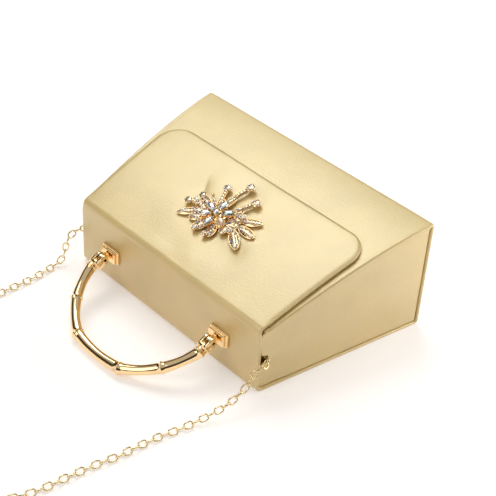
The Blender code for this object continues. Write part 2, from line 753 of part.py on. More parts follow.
def fork_block(side, word):
    """The squared end of the handle, round about the pin."""
    turns = np.linspace(0, math.pi, 9)
    tip = [(FORK_RADIUS * math.sin(turn), FORK_RADIUS * math.cos(turn)) for turn in turns]
    outline = tip + [(-FORK_LENGTH, -FORK_RADIUS), (-FORK_LENGTH, FORK_RADIUS)]
    middle, half = side * HANDLE_SPAN / 2, FORK_WIDTH / 2
    rings = [[(x, y, z) for y, z in outline] for x in (middle - half, middle + half)]
    return bevel(loft("fork_" + word, rings), FORK_ROUNDING)


def fork_slot(side, word):
    """The slot that clears a mount's lug."""
    half = LUG_THICKNESS / 2 + SLOT_CLEARANCE
    middle = side * HANDLE_SPAN / 2
    floor = -LUG_RADIUS - SLOT_CLEARANCE * 2
    top = FORK_RADIUS + OVERRUN
    outline = [(middle - half, floor), (middle + half, floor), (middle + half, top), (middle - half, top)]
    return prism("fork_slot_" + word, outline, -FORK_RADIUS - OVERRUN, FORK_RADIUS + OVERRUN)


def fork_bore(side, word):
    """The hole for a pin through a fork."""
    half = FORK_WIDTH / 2 + OVERRUN
    bore = PIN_RADIUS + PIN_CLEARANCE
    hole = turned("fork_bore_" + word, [(bore, -half), (bore, half)], 20)
    hole.location = (side * HANDLE_SPAN / 2, 0, 0)
    hole.rotation_euler = across()
    return hole


def handle_pin(side, word):
    """The pin through a fork and a lug."""
    half = FORK_WIDTH / 2
    pin = turned("handle_pin_" + word, [(PIN_RADIUS, -half), (PIN_RADIUS, half)], 16, gold)
    pin.location = (side * HANDLE_SPAN / 2, 0, 0)
    pin.rotation_euler = across()
    return pin


def almond(length, width, steps=5, middle=(0, 0), heading=0.0):
    """A pointed oval outline, two arcs that meet at its tips, turned to a heading."""
    half, side = length / 2, width / 2
    radius = (half ** 2 + side ** 2) / (2 * side)
    sweep = math.asin(half / radius)
    upper = [(radius * math.sin(turn), radius * math.cos(turn) - radius + side)
             for turn in np.linspace(-sweep, sweep, steps)]
    outline = upper + [(x, -y) for x, y in reversed(upper[1:-1])]
    turn = Matrix.Rotation(heading, 2)
    return [tuple(turn @ Vector(point) + Vector(middle)) for point in outline]


def polar(reach, angle):
    """A place at a reach and an angle in degrees from the middle of the flower."""
    return (reach * math.cos(math.radians(angle)), reach * math.sin(math.radians(angle)))


def cut_stone(name, outline, middle, seat, dress):
    """A cut stone over an outline: culet side below, girdle, and a smaller table on top."""
    levels = ((STONE_CULET_SHARE, 0), (1, STONE_GIRDLE_RISE_SHARE), (STONE_TABLE_SHARE, 1))
    rings = []
    for share, rise in levels:
        rings.append([(middle[0] + (x - middle[0]) * share, middle[1] + (y - middle[1]) * share,
                       seat + rise * STONE_HEIGHT) for x, y in outline])
    return loft(name, rings, dress)


def ray_bar(name, reach, angle):
    """A stalk of the setting, from the hub outwards."""
    half = STALK_WIDTH / 2
    outline = [(0, -half), (reach, -half), (reach, half), (0, half)]
    turn = Matrix.Rotation(math.radians(angle), 2)
    points = [tuple(turn @ Vector(point)) for point in outline]
    return prism(name, points, GAP, GAP + SETTING_PLATE)


def setting_parts():
    """The pieces that are joined into the setting: cups, centre post, leaves, stems and posts."""
    parts = []
    for index, angle in enumerate(PETAL_ANGLES):
        outline = almond(PETAL_LENGTH + CUP_RIM * 2, PETAL_WIDTH + CUP_RIM * 2, 5,
                         polar(PETAL_REACH, angle), math.radians(angle))
        parts.append(prism(f"petal_cup_{index + 1}", outline, SETTING_PLATE, CUP_HEIGHT))
    post_radius = CENTRE_STONE_RADIUS + CUP_RIM
    parts.append(turned("centre_post", [(post_radius, SETTING_PLATE), (post_radius, CENTRE_POST_HEIGHT)], 12))
    leaf_top = GAP + SETTING_PLATE + CUP_RIM
    for index, (angle, share) in enumerate(zip(LEAF_ANGLES, LEAF_REACH_SHARES)):
        middle = LEAF_TIP_REACH * share - LEAF_LENGTH / 2
        outline = almond(LEAF_LENGTH, LEAF_WIDTH, 7, polar(middle, angle), math.radians(angle))
        parts.append(ray_bar(f"leaf_stalk_{index + 1}", middle, angle))
        parts.append(domed(f"leaf_{index + 1}", outline, GAP + CUP_RIM, leaf_top))
    for index, (angle, share) in enumerate(zip(PAVE_ANGLES, PAVE_REACH_SHARES)):
        outline = almond(PAVE_LENGTH, PAVE_WIDTH, 7, polar(PAVE_REACH * share, angle), math.radians(angle))
        parts.append(domed(f"pave_petal_{index + 1}", outline, GAP + CUP_RIM / 2, leaf_top - CUP_RIM / 2))
    for index, (angle, share) in enumerate(zip(STEM_ANGLES, STEM_REACH_SHARES)):
        reach = STEM_REACH * share
        parts.append(ray_bar(f"stem_{index + 1}", reach, angle))
        parts.append(round_cup(f"stem_cup_{index + 1}", STEM_TIP_RADIUS, polar(reach, angle)))
    for index, (angle, share) in enumerate(zip(ROUND_ANGLES, ROUND_REACH_SHARES)):
        reach = ROUND_REACH * share
        parts.append(ray_bar(f"round_stalk_{index + 1}", reach, angle))
        parts.append(round_cup(f"round_cup_{index + 1}", ROUND_STONE_RADIUS, polar(reach, angle)))
    for index, x in enumerate((-POST_SPACING / 2, POST_SPACING / 2)):
        post = circle(POST_RADIUS, 10, (x, 0))
        parts.append(prism(f"post_{index + 1}", post, -FLAP_BOARD, SETTING_PLATE))
    return parts


def domed(name, outline, low, high):
    """A leaf or petal: straight walls, and a top that rises to a smaller outline."""
    count = len(outline)
    middle = (sum(x for x, _ in outline) / count, sum(y for _, y in outline) / count)
    levels = ((1, low), (1, high - LEAF_RISE), (LEAF_RIDGE_SHARE, high))
    rings = [[(middle[0] + (x - middle[0]) * share, middle[1] + (y - middle[1]) * share, height)
              for x, y in outline] for share, height in levels]
    return loft(name, rings)


def round_cup(name, radius, middle):
    """The cup under a round stone."""
    outline = circle(radius + CUP_RIM, 12, middle)
    return prism(name, outline, GAP - CUP_RIM / 2, SETTING_HUB_HEIGHT)


def brooch_frame(piece):
    """Places a piece made in the brooch's plane on the flap."""
    return on_front(piece, BROOCH_X, BROOCH_Y, FLAP_LIFT)


def brooch_stones():
    """The stones of the brooch: long petals, the centre, stem tips and single round stones."""
    stones = []
    colours = ("crystal", "crystal", "crystal", "amber", "grey_green", "grey_green")
    for index, (angle, colour) in enumerate(zip(PETAL_ANGLES, colours)):
        middle = polar(PETAL_REACH, angle)
        outline = almond(PETAL_LENGTH, PETAL_WIDTH, 5, middle, math.radians(angle))
        name = f"petal_stone_{index + 1}"
        stones.append(cut_stone(name, outline, middle, CUP_HEIGHT + STONE_SEAT, stone(colour)))
    outline = circle(CENTRE_STONE_RADIUS, 10)
    stones.append(cut_stone("centre_stone", outline, (0, 0), CENTRE_POST_HEIGHT + STONE_SEAT, stone("crystal")))
    seat = SETTING_HUB_HEIGHT + STONE_SEAT
    for index, (angle, share) in enumerate(zip(STEM_ANGLES, STEM_REACH_SHARES)):
        middle = polar(STEM_REACH * share, angle)
        outline = circle(STEM_TIP_RADIUS, 10, middle)
        stones.append(cut_stone(f"stem_stone_{index + 1}", outline, middle, seat, stone("crystal")))
    for index, (angle, share) in enumerate(zip(ROUND_ANGLES, ROUND_REACH_SHARES)):
        middle = polar(ROUND_REACH * share, angle)
        outline = circle(ROUND_STONE_RADIUS, 10, middle)
        stones.append(cut_stone(f"round_stone_{index + 1}", outline, middle, seat, stone("crystal")))
    return stones


def back_plate():
    """The plate inside the flap that the brooch's posts go through."""
    half_x, half_y = BACK_PLATE_LENGTH / 2, BACK_PLATE_WIDTH / 2
    outline = [(-half_x, -half_y), (half_x, -half_y), (half_x, half_y), (-half_x, half_y)]
    low = -FLAP_BOARD
    return prism("brooch_back_plate", outline, low, low + BACK_PLATE_THICKNESS, steel)


def plate_recess():
    """The pocket in the flap that the back plate lies in."""
    half_x, half_y = BACK_PLATE_LENGTH / 2 + GAP, BACK_PLATE_WIDTH / 2 + GAP
    outline = [(-half_x, -half_y), (half_x, -half_y), (half_x, half_y), (-half_x, half_y)]
    return prism("plate_recess", outline, -FLAP_BOARD - OVERRUN, -FLAP_BOARD + BACK_PLATE_THICKNESS + GAP)


def post_hole(name, x, clearance):
    """A hole that a post of the brooch goes through."""
    outline = circle(POST_RADIUS + clearance, 12, (x, 0))
    return prism(name, outline, -FLAP_BOARD - OVERRUN, OVERRUN)


def tab_slope(side):
    """How the lining leans where a tab is sewn, as an angle about Z."""
    share = share_at(TAB_Y)
    rise = lining_x(share, TAB_Y + TAB_LENGTH / 2) - lining_x(share, TAB_Y - TAB_LENGTH / 2)
    return -side * math.atan(rise / TAB_LENGTH)


def share_at(y):
    """The depth share at which the chain lies, at a distance from the top."""
    low = BOARD + GAP
    high = front(y, -BOARD - GAP)
    return (CHAIN_DEPTH - low) / (high - low)


def tab_frame(side, purse, word):
    """The frame of a tab: on the pouch lining's inner face, with its y along the wall."""
    share = share_at(TAB_Y)
    x = lining_x(share, TAB_Y) - LINING
    frame = empty("tab_frame_" + word, purse, (side * x, TAB_Y, CHAIN_DEPTH))
    frame.rotation_euler = (0, 0, tab_slope(side))
    return frame


def tab_depth():
    """Distance from the lining to the middle of the wire inside a tab."""
    return GAP * 2 + TAB_WALL + DRING_WIRE


def dring_tab(side, word):
    """A folded tab sewn to the lining, which holds the D-ring's straight side."""
    outer = -side * GAP
    inner = -side * (tab_depth() + DRING_WIRE + TAB_WALL + GAP)
    loop = -TAB_LOOP_DISTANCE
    end = loop - DRING_WIRE - GAP - TAB_WALL
    outline = [(outer, end), (inner, end), (inner, end + TAB_LENGTH), (outer, end + TAB_LENGTH)]
    tab = prism("dring_tab_" + word, outline, -TAB_WIDTH / 2, TAB_WIDTH / 2, lining_cloth)
    bevel(tab, EDGE_ROUNDING)
    hole = prism("tab_hole_" + word, circle(DRING_WIRE + GAP, 12, (-side * tab_depth(), loop)),
                 -TAB_WIDTH / 2 - OVERRUN, TAB_WIDTH / 2 + OVERRUN)
    return tab, hole


def dring(side, word):
    """A D-ring in the plane of the side wall, its round side towards the mouth."""
    half = DRING_WIDTH / 2
    turns = np.linspace(0, math.pi, 9)
    arc = [(half * math.cos(turn), DRING_LENGTH * math.sin(turn)) for turn in turns]
    path = arc + [(half * share, 0) for share in DRING_FOOT_SHARES]
    ring = planar_sweep("dring_" + word, path, [DRING_WIRE] * len(path), 8, chain_gold, closed=True)
    ring.rotation_euler = (math.pi, QUARTER, 0)
    ring.location = (-side * tab_depth(), -TAB_LOOP_DISTANCE, 0)
    return ring


def apex(side):
    """Where the middle of the D-ring's wire is nearest the mouth, in the purse frame."""
    share = share_at(TAB_Y)
    origin = Vector((side * (lining_x(share, TAB_Y) - LINING), TAB_Y, CHAIN_DEPTH))
    local = Vector((-side * tab_depth(), -TAB_LOOP_DISTANCE - DRING_LENGTH, 0))
    return origin + Matrix.Rotation(tab_slope(side), 3, "Z") @ local


def heading(side):
    """The direction in which a chain leaves its D-ring."""
    return Vector((side * CLASP_DIRECTION[0], CLASP_DIRECTION[1], 0)).normalized()


def clasp_middle():
    """Distance from the D-ring's wire to the middle of the connecting ring."""
    return CLASP_LENGTH / 2 - CLASP_WIRE - DRING_WIRE - GAP


def chain_clasp(side, word):
    """The oval ring that joins a chain's end to its D-ring."""
    wide = CLASP_INNER_RADIUS + CLASP_WIRE
    straight = CLASP_LENGTH / 2 - wide
    turns = np.linspace(-QUARTER, QUARTER, 7)
    right = [(straight + wide * math.cos(turn), wide * math.sin(turn)) for turn in turns]
    path = right + [(-x, -y) for x, y in right]
    ring = planar_sweep("chain_clasp_" + word, path, [CLASP_WIRE] * len(path), 8, chain_gold, closed=True)
    way = heading(side)
    ring.location = apex(side) + way * clasp_middle()
    ring.rotation_euler = (0, 0, math.atan2(way.y, way.x))
    return ring


def chain_start(side):
    """Where a chain begins, just past its connecting ring."""
    reach = clasp_middle() + CLASP_LENGTH / 2 + CLASP_WIRE + GAP
    return apex(side) + heading(side) * reach


def smooth_route(points, spacing):
    """Evenly spaced points of a smooth curve through a route's own points."""
    knots = np.array(points)
    padded = np.vstack([2 * knots[0] - knots[1], knots, 2 * knots[-1] - knots[-2]])
    fine = []
    for before, start, end, after in zip(padded, padded[1:], padded[2:], padded[3:]):
        t = np.linspace(0, 1, 24, endpoint=False)[:, None]
        fine.append(0.5 * (2 * start + (end - before) * t + (2 * before - 5 * start + 4 * end - after) * t ** 2
                           + (3 * start - before - 3 * end + after) * t ** 3))
    fine = np.vstack(fine + [knots[-1:]])
    along = np.concatenate([[0], np.cumsum(np.linalg.norm(np.diff(fine, axis=0), axis=1))])
    count = int(round(along[-1] / spacing)) + 1
    marks = np.linspace(0, along[-1], count)
    return np.stack([np.interp(marks, along, fine[:, axis]) for axis in range(3)], 1)


def tube(name, points, resolution, dress):
    """A round tube along points: a curve with a bevel and filled caps."""
    data = bpy.data.curves.new(name, "CURVE")
    data.dimensions = "3D"
    data.bevel_depth = CHAIN_RADIUS
    data.bevel_resolution = resolution
    data.use_fill_caps = True
    data.materials.append(dress(name))
    spline = data.splines.new("POLY")
    spline.points.add(len(points) - 1)
    for place, point in zip(spline.points, points):
        place.co = (*point, 1)
    piece = bpy.data.objects.new(name, data)
    bpy.context.scene.collection.objects.link(piece)
    return piece


def coil_points():
    """The coil: in over its turns, up a layer in half a turn at the middle, and out again on top."""
    total = COIL_TURNS_IN * 2 + COIL_CLIMB_TURNS
    turns = np.linspace(0, total, int(round(total * COIL_POINTS_PER_TURN)) + 1)
    middle = total / 2
    radius = COIL_RADIUS - COIL_PITCH * (middle - np.abs(turns - middle))
    climb = np.clip((turns - COIL_TURNS_IN) / COIL_CLIMB_TURNS, 0, 1)
    height = CHAIN_RADIUS + COIL_PITCH * climb ** 2 * (3 - 2 * climb)
    angle = -QUARTER - math.tau * turns
    x = COIL_CENTRE[0] + radius * np.cos(angle)
    y = COIL_CENTRE[1] + radius * np.sin(angle)
    return np.stack([x, y, height], 1)


def coil_way_in():
    """Where the coil's straight lead-in starts, on the right of its foot."""
    return Vector((COIL_CENTRE[0] + CHAIN_DIAMETER, COIL_CENTRE[1] - COIL_RADIUS, CHAIN_RADIUS))


def coil_way_out():
    """Where the coil's straight lead-out ends, on its left side and a layer up."""
    return Vector((COIL_CENTRE[0] - COIL_RADIUS, COIL_CENTRE[1] + CHAIN_DIAMETER, CHAIN_RADIUS + COIL_PITCH))


def self_gap(points):
    """The least clear distance between parts of a tube that aren't neighbours along it."""
    steps = np.linalg.norm(np.diff(points, axis=0), axis=1)
    along = np.concatenate([[0], np.cumsum(steps)])
    apart = np.linalg.norm(points[:, None] - points[None, :], axis=2)
    far = np.abs(along[:, None] - along[None, :]) > CHAIN_DIAMETER * math.pi
    return float(apart[far].min() - CHAIN_DIAMETER)


def chain_right():
    """The chain from the right end of the mouth down to the table and along it to the coil."""
    start = chain_start(1)
    end = coil_way_in() + Vector((GAP, 0, 0))
    route = [start, *RIGHT_ROUTE, end + Vector((CHAIN_DIAMETER * 2, 0, 0)),
             end + Vector((CHAIN_DIAMETER, 0, 0)), end]
    return tube("chain_right", smooth_route(route, CHAIN_SAMPLE), 2, chain_gold)


def chain_left():
    """The chain from the left end of the mouth down to the table and along it to the coil."""
    start = chain_start(-1)
    end = coil_way_out() + Vector((0, GAP, 0))
    route = [start, *LEFT_ROUTE, end + Vector((0, CHAIN_DIAMETER, 0)), end]
    return tube("chain_left", smooth_route(route, CHAIN_SAMPLE), 2, chain_gold)


def chain_coil():
    """The rest of the chain, wound up in two layers as one unbroken tube."""
    turns = coil_points()
    points = np.vstack([[coil_way_in()], turns, [coil_way_out()]])
    print(f"least gap between the coil's turns: {self_gap(turns) * 1000:.2f} mm")
    return tube("chain_coil", points, 1, chain_gold)


def chain_length(*pieces):
    """The length of the chain's tubes together."""
    total = 0.0
    for piece in pieces:
        places = [Vector(point.co[:3]) for point in piece.data.splines[0].points]
        total += sum((after - before).length for before, after in zip(places, places[1:]))
    return total


def build_body(purse):
    """The pieces that stay still when the lid opens."""
    front_board = front_panel()
    catch = magnet("front_magnet", -BOARD + MAGNET_THICKNESS)
    recess = magnet_recess("front_magnet_recess", -BOARD)
    pieces = [back_panel(), bottom_panel(), front_board, gusset(-1), gusset(1), pouch_lining(), catch]
    for piece in pieces:
        piece.parent = purse
    combine(front_board, recess, "DIFFERENCE")
    bevel(front_board, EDGE_ROUNDING)
    for side, word in ((-1, "left"), (1, "right")):
        frame = tab_frame(side, purse, word)
        tab, hole = dring_tab(side, word)
        ring = dring(side, word)
        for piece in (tab, ring):
            piece.parent = frame
        combine(tab, hole, "DIFFERENCE")
        chain_clasp(side, word).parent = purse


def build_chain(purse):
    """The chain in its three stretches."""
    stretches = (chain_right(), chain_coil(), chain_left())
    for piece in stretches:
        piece.parent = purse
    print(f"chain length: {chain_length(*stretches) * 1000:.0f} mm")


def build_lid(purse, lid_axis):
    """The top panel with its lining and the handle's mounts."""
    board = top_panel()
    carry(board, lid_axis, purse)
    carry(top_lining(), lid_axis, purse)
    for side, word in ((-1, "left"), (1, "right")):
        for tool in screw_holes(side, word):
            combine(board, tool, "DIFFERENCE")
        foot, joined, cut = handle_mount(side, word)
        carry(foot, lid_axis, purse)
        for part in joined:
            combine(foot, part, "UNION")
        for tool in cut:
            combine(foot, tool, "DIFFERENCE")
        carry(mount_washer(side, word), lid_axis, purse)
        carry(mount_screw(side, word), lid_axis, purse)


def build_handle(handle_axis):
    """The handle and its pins, made in the handle's own plane about the pins' axis."""
    points, radii = bamboo_stations()
    handle = planar_sweep("handle", points, radii, HANDLE_SIDES, gold)
    handle.parent = handle_axis
    for side, word in ((-1, "left"), (1, "right")):
        combine(handle, fork_block(side, word), "UNION")
    for side, word in ((-1, "left"), (1, "right")):
        combine(handle, fork_slot(side, word), "DIFFERENCE")
        combine(handle, fork_bore(side, word), "DIFFERENCE")
        handle_pin(side, word).parent = handle_axis


def build_flap(purse, flap_axis):
    """The flap with its lining, magnet and brooch."""
    board = flap_panel()
    carry(board, flap_axis, purse)
    carry(flap_lining(), flap_axis, purse)
    inside = FLAP_LIFT - FLAP_BOARD
    carry(magnet("flap_magnet", inside + MAGNET_THICKNESS), flap_axis, purse)
    combine(board, magnet_recess("flap_magnet_recess", inside), "DIFFERENCE")
    combine(board, brooch_frame(plate_recess()), "DIFFERENCE")
    plate = carry(brooch_frame(back_plate()), flap_axis, purse)
    for index, x in enumerate((-POST_SPACING / 2, POST_SPACING / 2)):
        combine(board, brooch_frame(post_hole(f"board_post_hole_{index + 1}", x, GAP)), "DIFFERENCE")
        combine(plate, brooch_frame(post_hole(f"plate_post_hole_{index + 1}", x, HARDWARE_GAP)), "DIFFERENCE")
    hub = [(SETTING_HUB_RADIUS, GAP), (SETTING_HUB_RADIUS, SETTING_HUB_HEIGHT - CUP_RIM)]
    setting = carry(brooch_frame(turned("brooch_setting", hub, 20, gold)), flap_axis, purse)
    for part in setting_parts():
        combine(setting, brooch_frame(part), "UNION")
    for piece in brooch_stones():
        carry(brooch_frame(piece), flap_axis, purse)


def main():
    """Builds the purse."""
    clear_scene()
    purse = empty("purse", None, (0, -HEIGHT / 2, 0))
    lid_axis = empty("lid_axis", purse, (0, *LID_AXIS))
    flap_axis = empty("flap_axis", lid_axis, (0, FLAP_AXIS[0] - LID_AXIS[0], FLAP_AXIS[1] - LID_AXIS[1]))
    handle_axis = empty("handle_axis", lid_axis, (0, -PIVOT_STANDOFF - LID_AXIS[0], HANDLE_DEPTH - LID_AXIS[1]))
    handle_axis.rotation_euler = (DROOP, 0, 0)
    bpy.context.view_layer.update()
    build_body(purse)
    build_chain(purse)
    build_lid(purse, lid_axis)
    build_handle(handle_axis)
    build_flap(purse, flap_axis)


main()
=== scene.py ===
"""The satin purse as it looks: a fitted camera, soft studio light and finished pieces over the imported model.

All lengths are in metres. In the purse frame, y is the distance from the outer face of the lid's top panel. The
pieces end up in the row frame, whose origin is the middle of the back panel.
"""
import json
import logging
import math
from dataclasses import dataclass
from enum import Enum
from typing import Callable, Optional, Sequence

import bmesh
import bpy
import numpy as np
from bpy.types import Material, Node, NodeSocket, NodeTree, Object
from mathutils import Matrix, Vector
from numpy import ndarray as Array


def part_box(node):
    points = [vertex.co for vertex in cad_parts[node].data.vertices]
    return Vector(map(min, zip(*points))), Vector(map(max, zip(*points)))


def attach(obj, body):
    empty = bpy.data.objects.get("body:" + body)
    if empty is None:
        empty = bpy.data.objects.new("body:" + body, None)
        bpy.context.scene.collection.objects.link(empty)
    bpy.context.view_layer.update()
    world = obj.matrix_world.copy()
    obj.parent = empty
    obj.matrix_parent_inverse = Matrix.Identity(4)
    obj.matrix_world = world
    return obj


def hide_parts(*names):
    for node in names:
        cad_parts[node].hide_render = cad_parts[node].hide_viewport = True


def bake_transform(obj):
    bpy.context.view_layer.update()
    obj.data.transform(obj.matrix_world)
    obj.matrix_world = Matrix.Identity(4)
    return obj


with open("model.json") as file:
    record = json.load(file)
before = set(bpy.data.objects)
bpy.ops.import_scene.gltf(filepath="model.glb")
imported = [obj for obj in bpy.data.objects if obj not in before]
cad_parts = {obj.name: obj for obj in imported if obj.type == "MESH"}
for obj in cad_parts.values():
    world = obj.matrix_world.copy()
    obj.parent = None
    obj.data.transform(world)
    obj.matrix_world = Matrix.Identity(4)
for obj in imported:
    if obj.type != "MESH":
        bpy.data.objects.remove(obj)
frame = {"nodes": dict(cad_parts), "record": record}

log = logging.getLogger("purse")
IMAGE_SIDE = 496
SENSOR_WIDTH_MM = 36.0
WELD = 0.000002
SIDES = ((1, "right"), (-1, "left"))


@dataclass
class Patch:
    """A grid of points that becomes quads, with a place in the cloth for each point."""

    # Rows by columns by 3, in metres
    points: Array
    # Rows by columns by 2, the UV map in metres, with one more column where the patch wraps
    cloth: Optional[Array] = None
    wraps: bool = False

    def places(self) -> Array:
        """Its UV map, all zero where it has none."""
        rows, columns = self.points.shape[:2]
        return np.zeros((rows, columns + self.wraps, 2)) if self.cloth is None else self.cloth

    def through(self, change: Callable) -> "Patch":
        """The patch with its points changed by a function."""
        return Patch(change(self.points), self.cloth, self.wraps)


def grid_faces(rows: int, columns: int, wraps: bool) -> Array:
    """Corner numbers of a grid's quads.

    Args:
        rows: Rows of points.
        columns: Columns of points.
        wraps: Whether the last column joins the first.

    Returns:
        An array of quads, four point numbers each.
    """
    index = np.arange(rows * columns).reshape(rows, columns)
    if wraps:
        index = np.concatenate([index, index[:, :1]], 1)
    corners = (index[:-1, :-1], index[:-1, 1:], index[1:, 1:], index[1:, :-1])
    return np.stack(corners, -1).reshape(-1, 4)


def build_mesh(name: str, patches: Sequence[Patch], smooth: bool = True, turn: bool = True) -> Object:
    """Makes one object from patches, with doubled points merged and faces turned outwards.

    Args:
        name: The object's name.
        patches: The grids that it is made of.
        smooth: Whether its faces are shaded smooth.
        turn: Whether the faces are turned outwards, for closed shapes.

    Returns:
        The new object, at the origin.
    """
    places = [patch.places() for patch in patches]
    point_starts = np.cumsum([0] + [patch.points.size // 3 for patch in patches])
    place_starts = np.cumsum([0] + [place.size // 2 for place in places])
    vertices = np.concatenate([patch.points.reshape(-1, 3) for patch in patches])
    quads = np.concatenate([grid_faces(*patch.points.shape[:2], patch.wraps) + start
                            for patch, start in zip(patches, point_starts)])
    corners = np.concatenate([grid_faces(*place.shape[:2], False) + start
                              for place, start in zip(places, place_starts)])
    flat = np.concatenate([place.reshape(-1, 2) for place in places])[corners.ravel()]
    mesh = bpy.data.meshes.new(name)
    mesh.vertices.add(len(vertices))
    mesh.vertices.foreach_set("co", vertices.astype(np.float32).ravel())
    mesh.loops.add(quads.size)
    mesh.loops.foreach_set("vertex_index", quads.astype(np.int32).ravel())
    mesh.polygons.add(len(quads))
    mesh.polygons.foreach_set("loop_start", np.arange(0, quads.size, 4, dtype=np.int32))
    mesh.update(calc_edges=True)
    mesh.uv_layers.new(name="cloth").data.foreach_set("uv", flat.astype(np.float32).ravel())
    shape = bmesh.new()
    shape.from_mesh(mesh)
    bmesh.ops.remove_doubles(shape, verts=shape.verts[:], dist=WELD)
    bmesh.ops.dissolve_degenerate(shape, edges=shape.edges[:], dist=WELD / 4)
    if turn:
        bmesh.ops.recalc_face_normals(shape, faces=shape.faces[:])
    shape.to_mesh(mesh)
    shape.free()
    if smooth:
        mesh.shade_smooth()
    piece = bpy.data.objects.new(name, mesh)
    bpy.context.scene.collection.objects.link(piece)
    return piece


def make_piece(name: str, patches: Sequence[Patch], material: Material,
               place: Optional[Callable] = None, smooth: bool = True) -> Object:
    """Makes one finished piece of the purse and reports it.

    Args:
        name: The piece's name.
        patches: Its patches.
        material: Its material.
        place: Turns the patches' points into points of the row frame.
        smooth: Whether its faces are shaded smooth.

    Returns:
        The piece.
    """
    if place:
        patches = [patch.through(place) for patch in patches]
    piece = build_mesh(name, patches, smooth)
    piece.data.materials.append(material)
    log.info("%s: %d faces", name, len(piece.data.polygons))
    return piece


def unit(vectors: Array) -> Array:
    """Vectors along the last axis, each divided by its own length."""
    return vectors / np.linalg.norm(vectors, axis=-1, keepdims=True)


def stadium(half_length: float, half_width: float, count: int) -> Array:
    """Points of an oval with straight sides: a half circle at each end, moved apart along the first axis.

    Args:
        half_length: Half the oval's length.
        half_width: Half its width, the radius of its ends.
        count: How many points, an even number.

    Returns:
        An array of count points in two axes.
    """
    turn = (np.arange(count) + 0.5) * math.tau / count
    along = np.sign(np.cos(turn)) * (half_length - half_width) + half_width * np.cos(turn)
    return np.stack([along, half_width * np.sin(turn)], 1)


def rings_along(centres: Array, along: Array, side: Array, oval: Array, wire: float,
                sides: int) -> Array:
    """Round wire bent to a flat oval, once for each place: a circle carried round the oval.

    Args:
        centres: The places, count by 3.
        along: The unit direction of each oval's length.
        side: The unit direction of each oval's width.
        oval: The oval's centreline in two axes.
        wire: The wire's radius.
        sides: Points round the wire.

    Returns:
        Points, place by oval point by wire point by 3.
    """
    ahead = unit(np.roll(oval, -1, 0) - np.roll(oval, 1, 0))
    outward = np.stack([ahead[:, 1], -ahead[:, 0]], 1)
    turn = np.arange(sides) * math.tau / sides
    flat = oval[:, None, :] + wire * np.cos(turn)[None, :, None] * outward[:, None, :]
    lift = wire * np.sin(turn)[None, None, :, None]
    middle, length, width, up = (rows[:, None, None] for rows in (centres, along, side, np.cross(along, side)))
    return middle + flat[None, ..., :1] * length + flat[None, ..., 1:] * width + lift * up


@dataclass(frozen=True)
class BoxForm:
    """The purse's outer form, shared by the pieces of cloth."""

    # The panels: length, widths, the front's height over the back, and the power by which it bows
    height: float = 0.1228
    top_width: float = 0.1655
    bottom_width: float = 0.2
    top_depth: float = 0.0437
    bottom_depth: float = 0.0756
    crown: float = 1.45
    # Thickness of the boards, and the height of the flap's outer face over the front
    board: float = 0.0022
    flap_lift: float = 0.0028
    # Radii of the folds: back to bottom, back to top panel, top panel to flap, bottom to front
    base_radius: float = 0.003
    back_radius: float = 0.0045
    front_radius: float = 0.005
    edge_radius: float = 0.0014
    # The gussets: how far inside the panels' edges, how far bowed at the top, and their thickness
    side_inset: float = 0.0006
    side_bow: float = 0.0045
    side_wall: float = 0.0014
    # The flap: thickness, reach down the front, widths at both ends, radius of its corners
    flap_board: float = 0.0017
    flap_drop: float = 0.0824
    flap_top_width: float = 0.164
    flap_low_width: float = 0.178
    flap_corner: float = 0.0178
    # How much further the front reaches to each side at the mouth
    front_overhang: float = 0.0009
    # The sheet inside lid and flap: thickness, and distance from the front's edge
    sheet_wall: float = 0.0005
    mouth_play: float = 0.0006
    gap: float = 0.0003

    @classmethod
    def from_frame(cls) -> "BoxForm":
        """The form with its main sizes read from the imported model."""
        low_top, high_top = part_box("top_panel")
        low_base, high_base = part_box("bottom_panel")
        _, high_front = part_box("front_panel")
        return cls(height=high_base[1] - low_top[1], top_width=high_top[0] - low_top[0],
                   bottom_width=high_base[0] - low_base[0], bottom_depth=round(high_front[2], 4))

    def half_width(self, y: Array) -> Array:
        """Half the panels' width at a distance from the top, which grows evenly."""
        return (self.top_width + (self.bottom_width - self.top_width) * y / self.height) / 2

    def slope(self, y: Array) -> Array:
        """How steeply the front rises, the slope of its crowned curve."""
        left = np.maximum(1 - np.asarray(y, float) / self.height, 0)
        return (self.bottom_depth - self.top_depth) / self.height * self.crown * left ** (self.crown - 1)

    def front(self, y: Array, offset: float = 0.0) -> Array:
        """Height over the front, a power curve from the top to the bottom depth, moved square to it.

        Args:
            y: Distances from the top.
            offset: How far outside the front the surface lies.

        Returns:
            The heights.
        """
        left = np.maximum(1 - np.asarray(y, float) / self.height, 0)
        depth = self.top_depth + (self.bottom_depth - self.top_depth) * (1 - left ** self.crown)
        return depth + offset * np.hypot(1, self.slope(y))

    def in_row(self, points: Array) -> Array:
        """Points of the purse frame in the row frame."""
        return np.asarray(points, float) - np.array([0, self.height / 2, 0])

    def fold_turn(self) -> float:
        """The angle between the top panel and the flap's first stretch."""
        return math.pi / 2 - math.atan(float(self.slope(0)))

    def fold_centre(self) -> tuple:
        """Middle of the front fold's arc, as its y and z."""
        rise = float(self.front(0, self.flap_lift)) - self.front_radius * math.tan(self.fold_turn() / 2)
        return self.front_radius, rise

    def bowed_side(self, share: Array, y: Array) -> Array:
        """Distance of a gusset's cloth from the middle: half the width less an inset and a parabola's bow."""
        bow = self.side_bow * 4 * share * (1 - share) * (1 - y / self.height)
        return self.half_width(y) - self.side_inset - bow


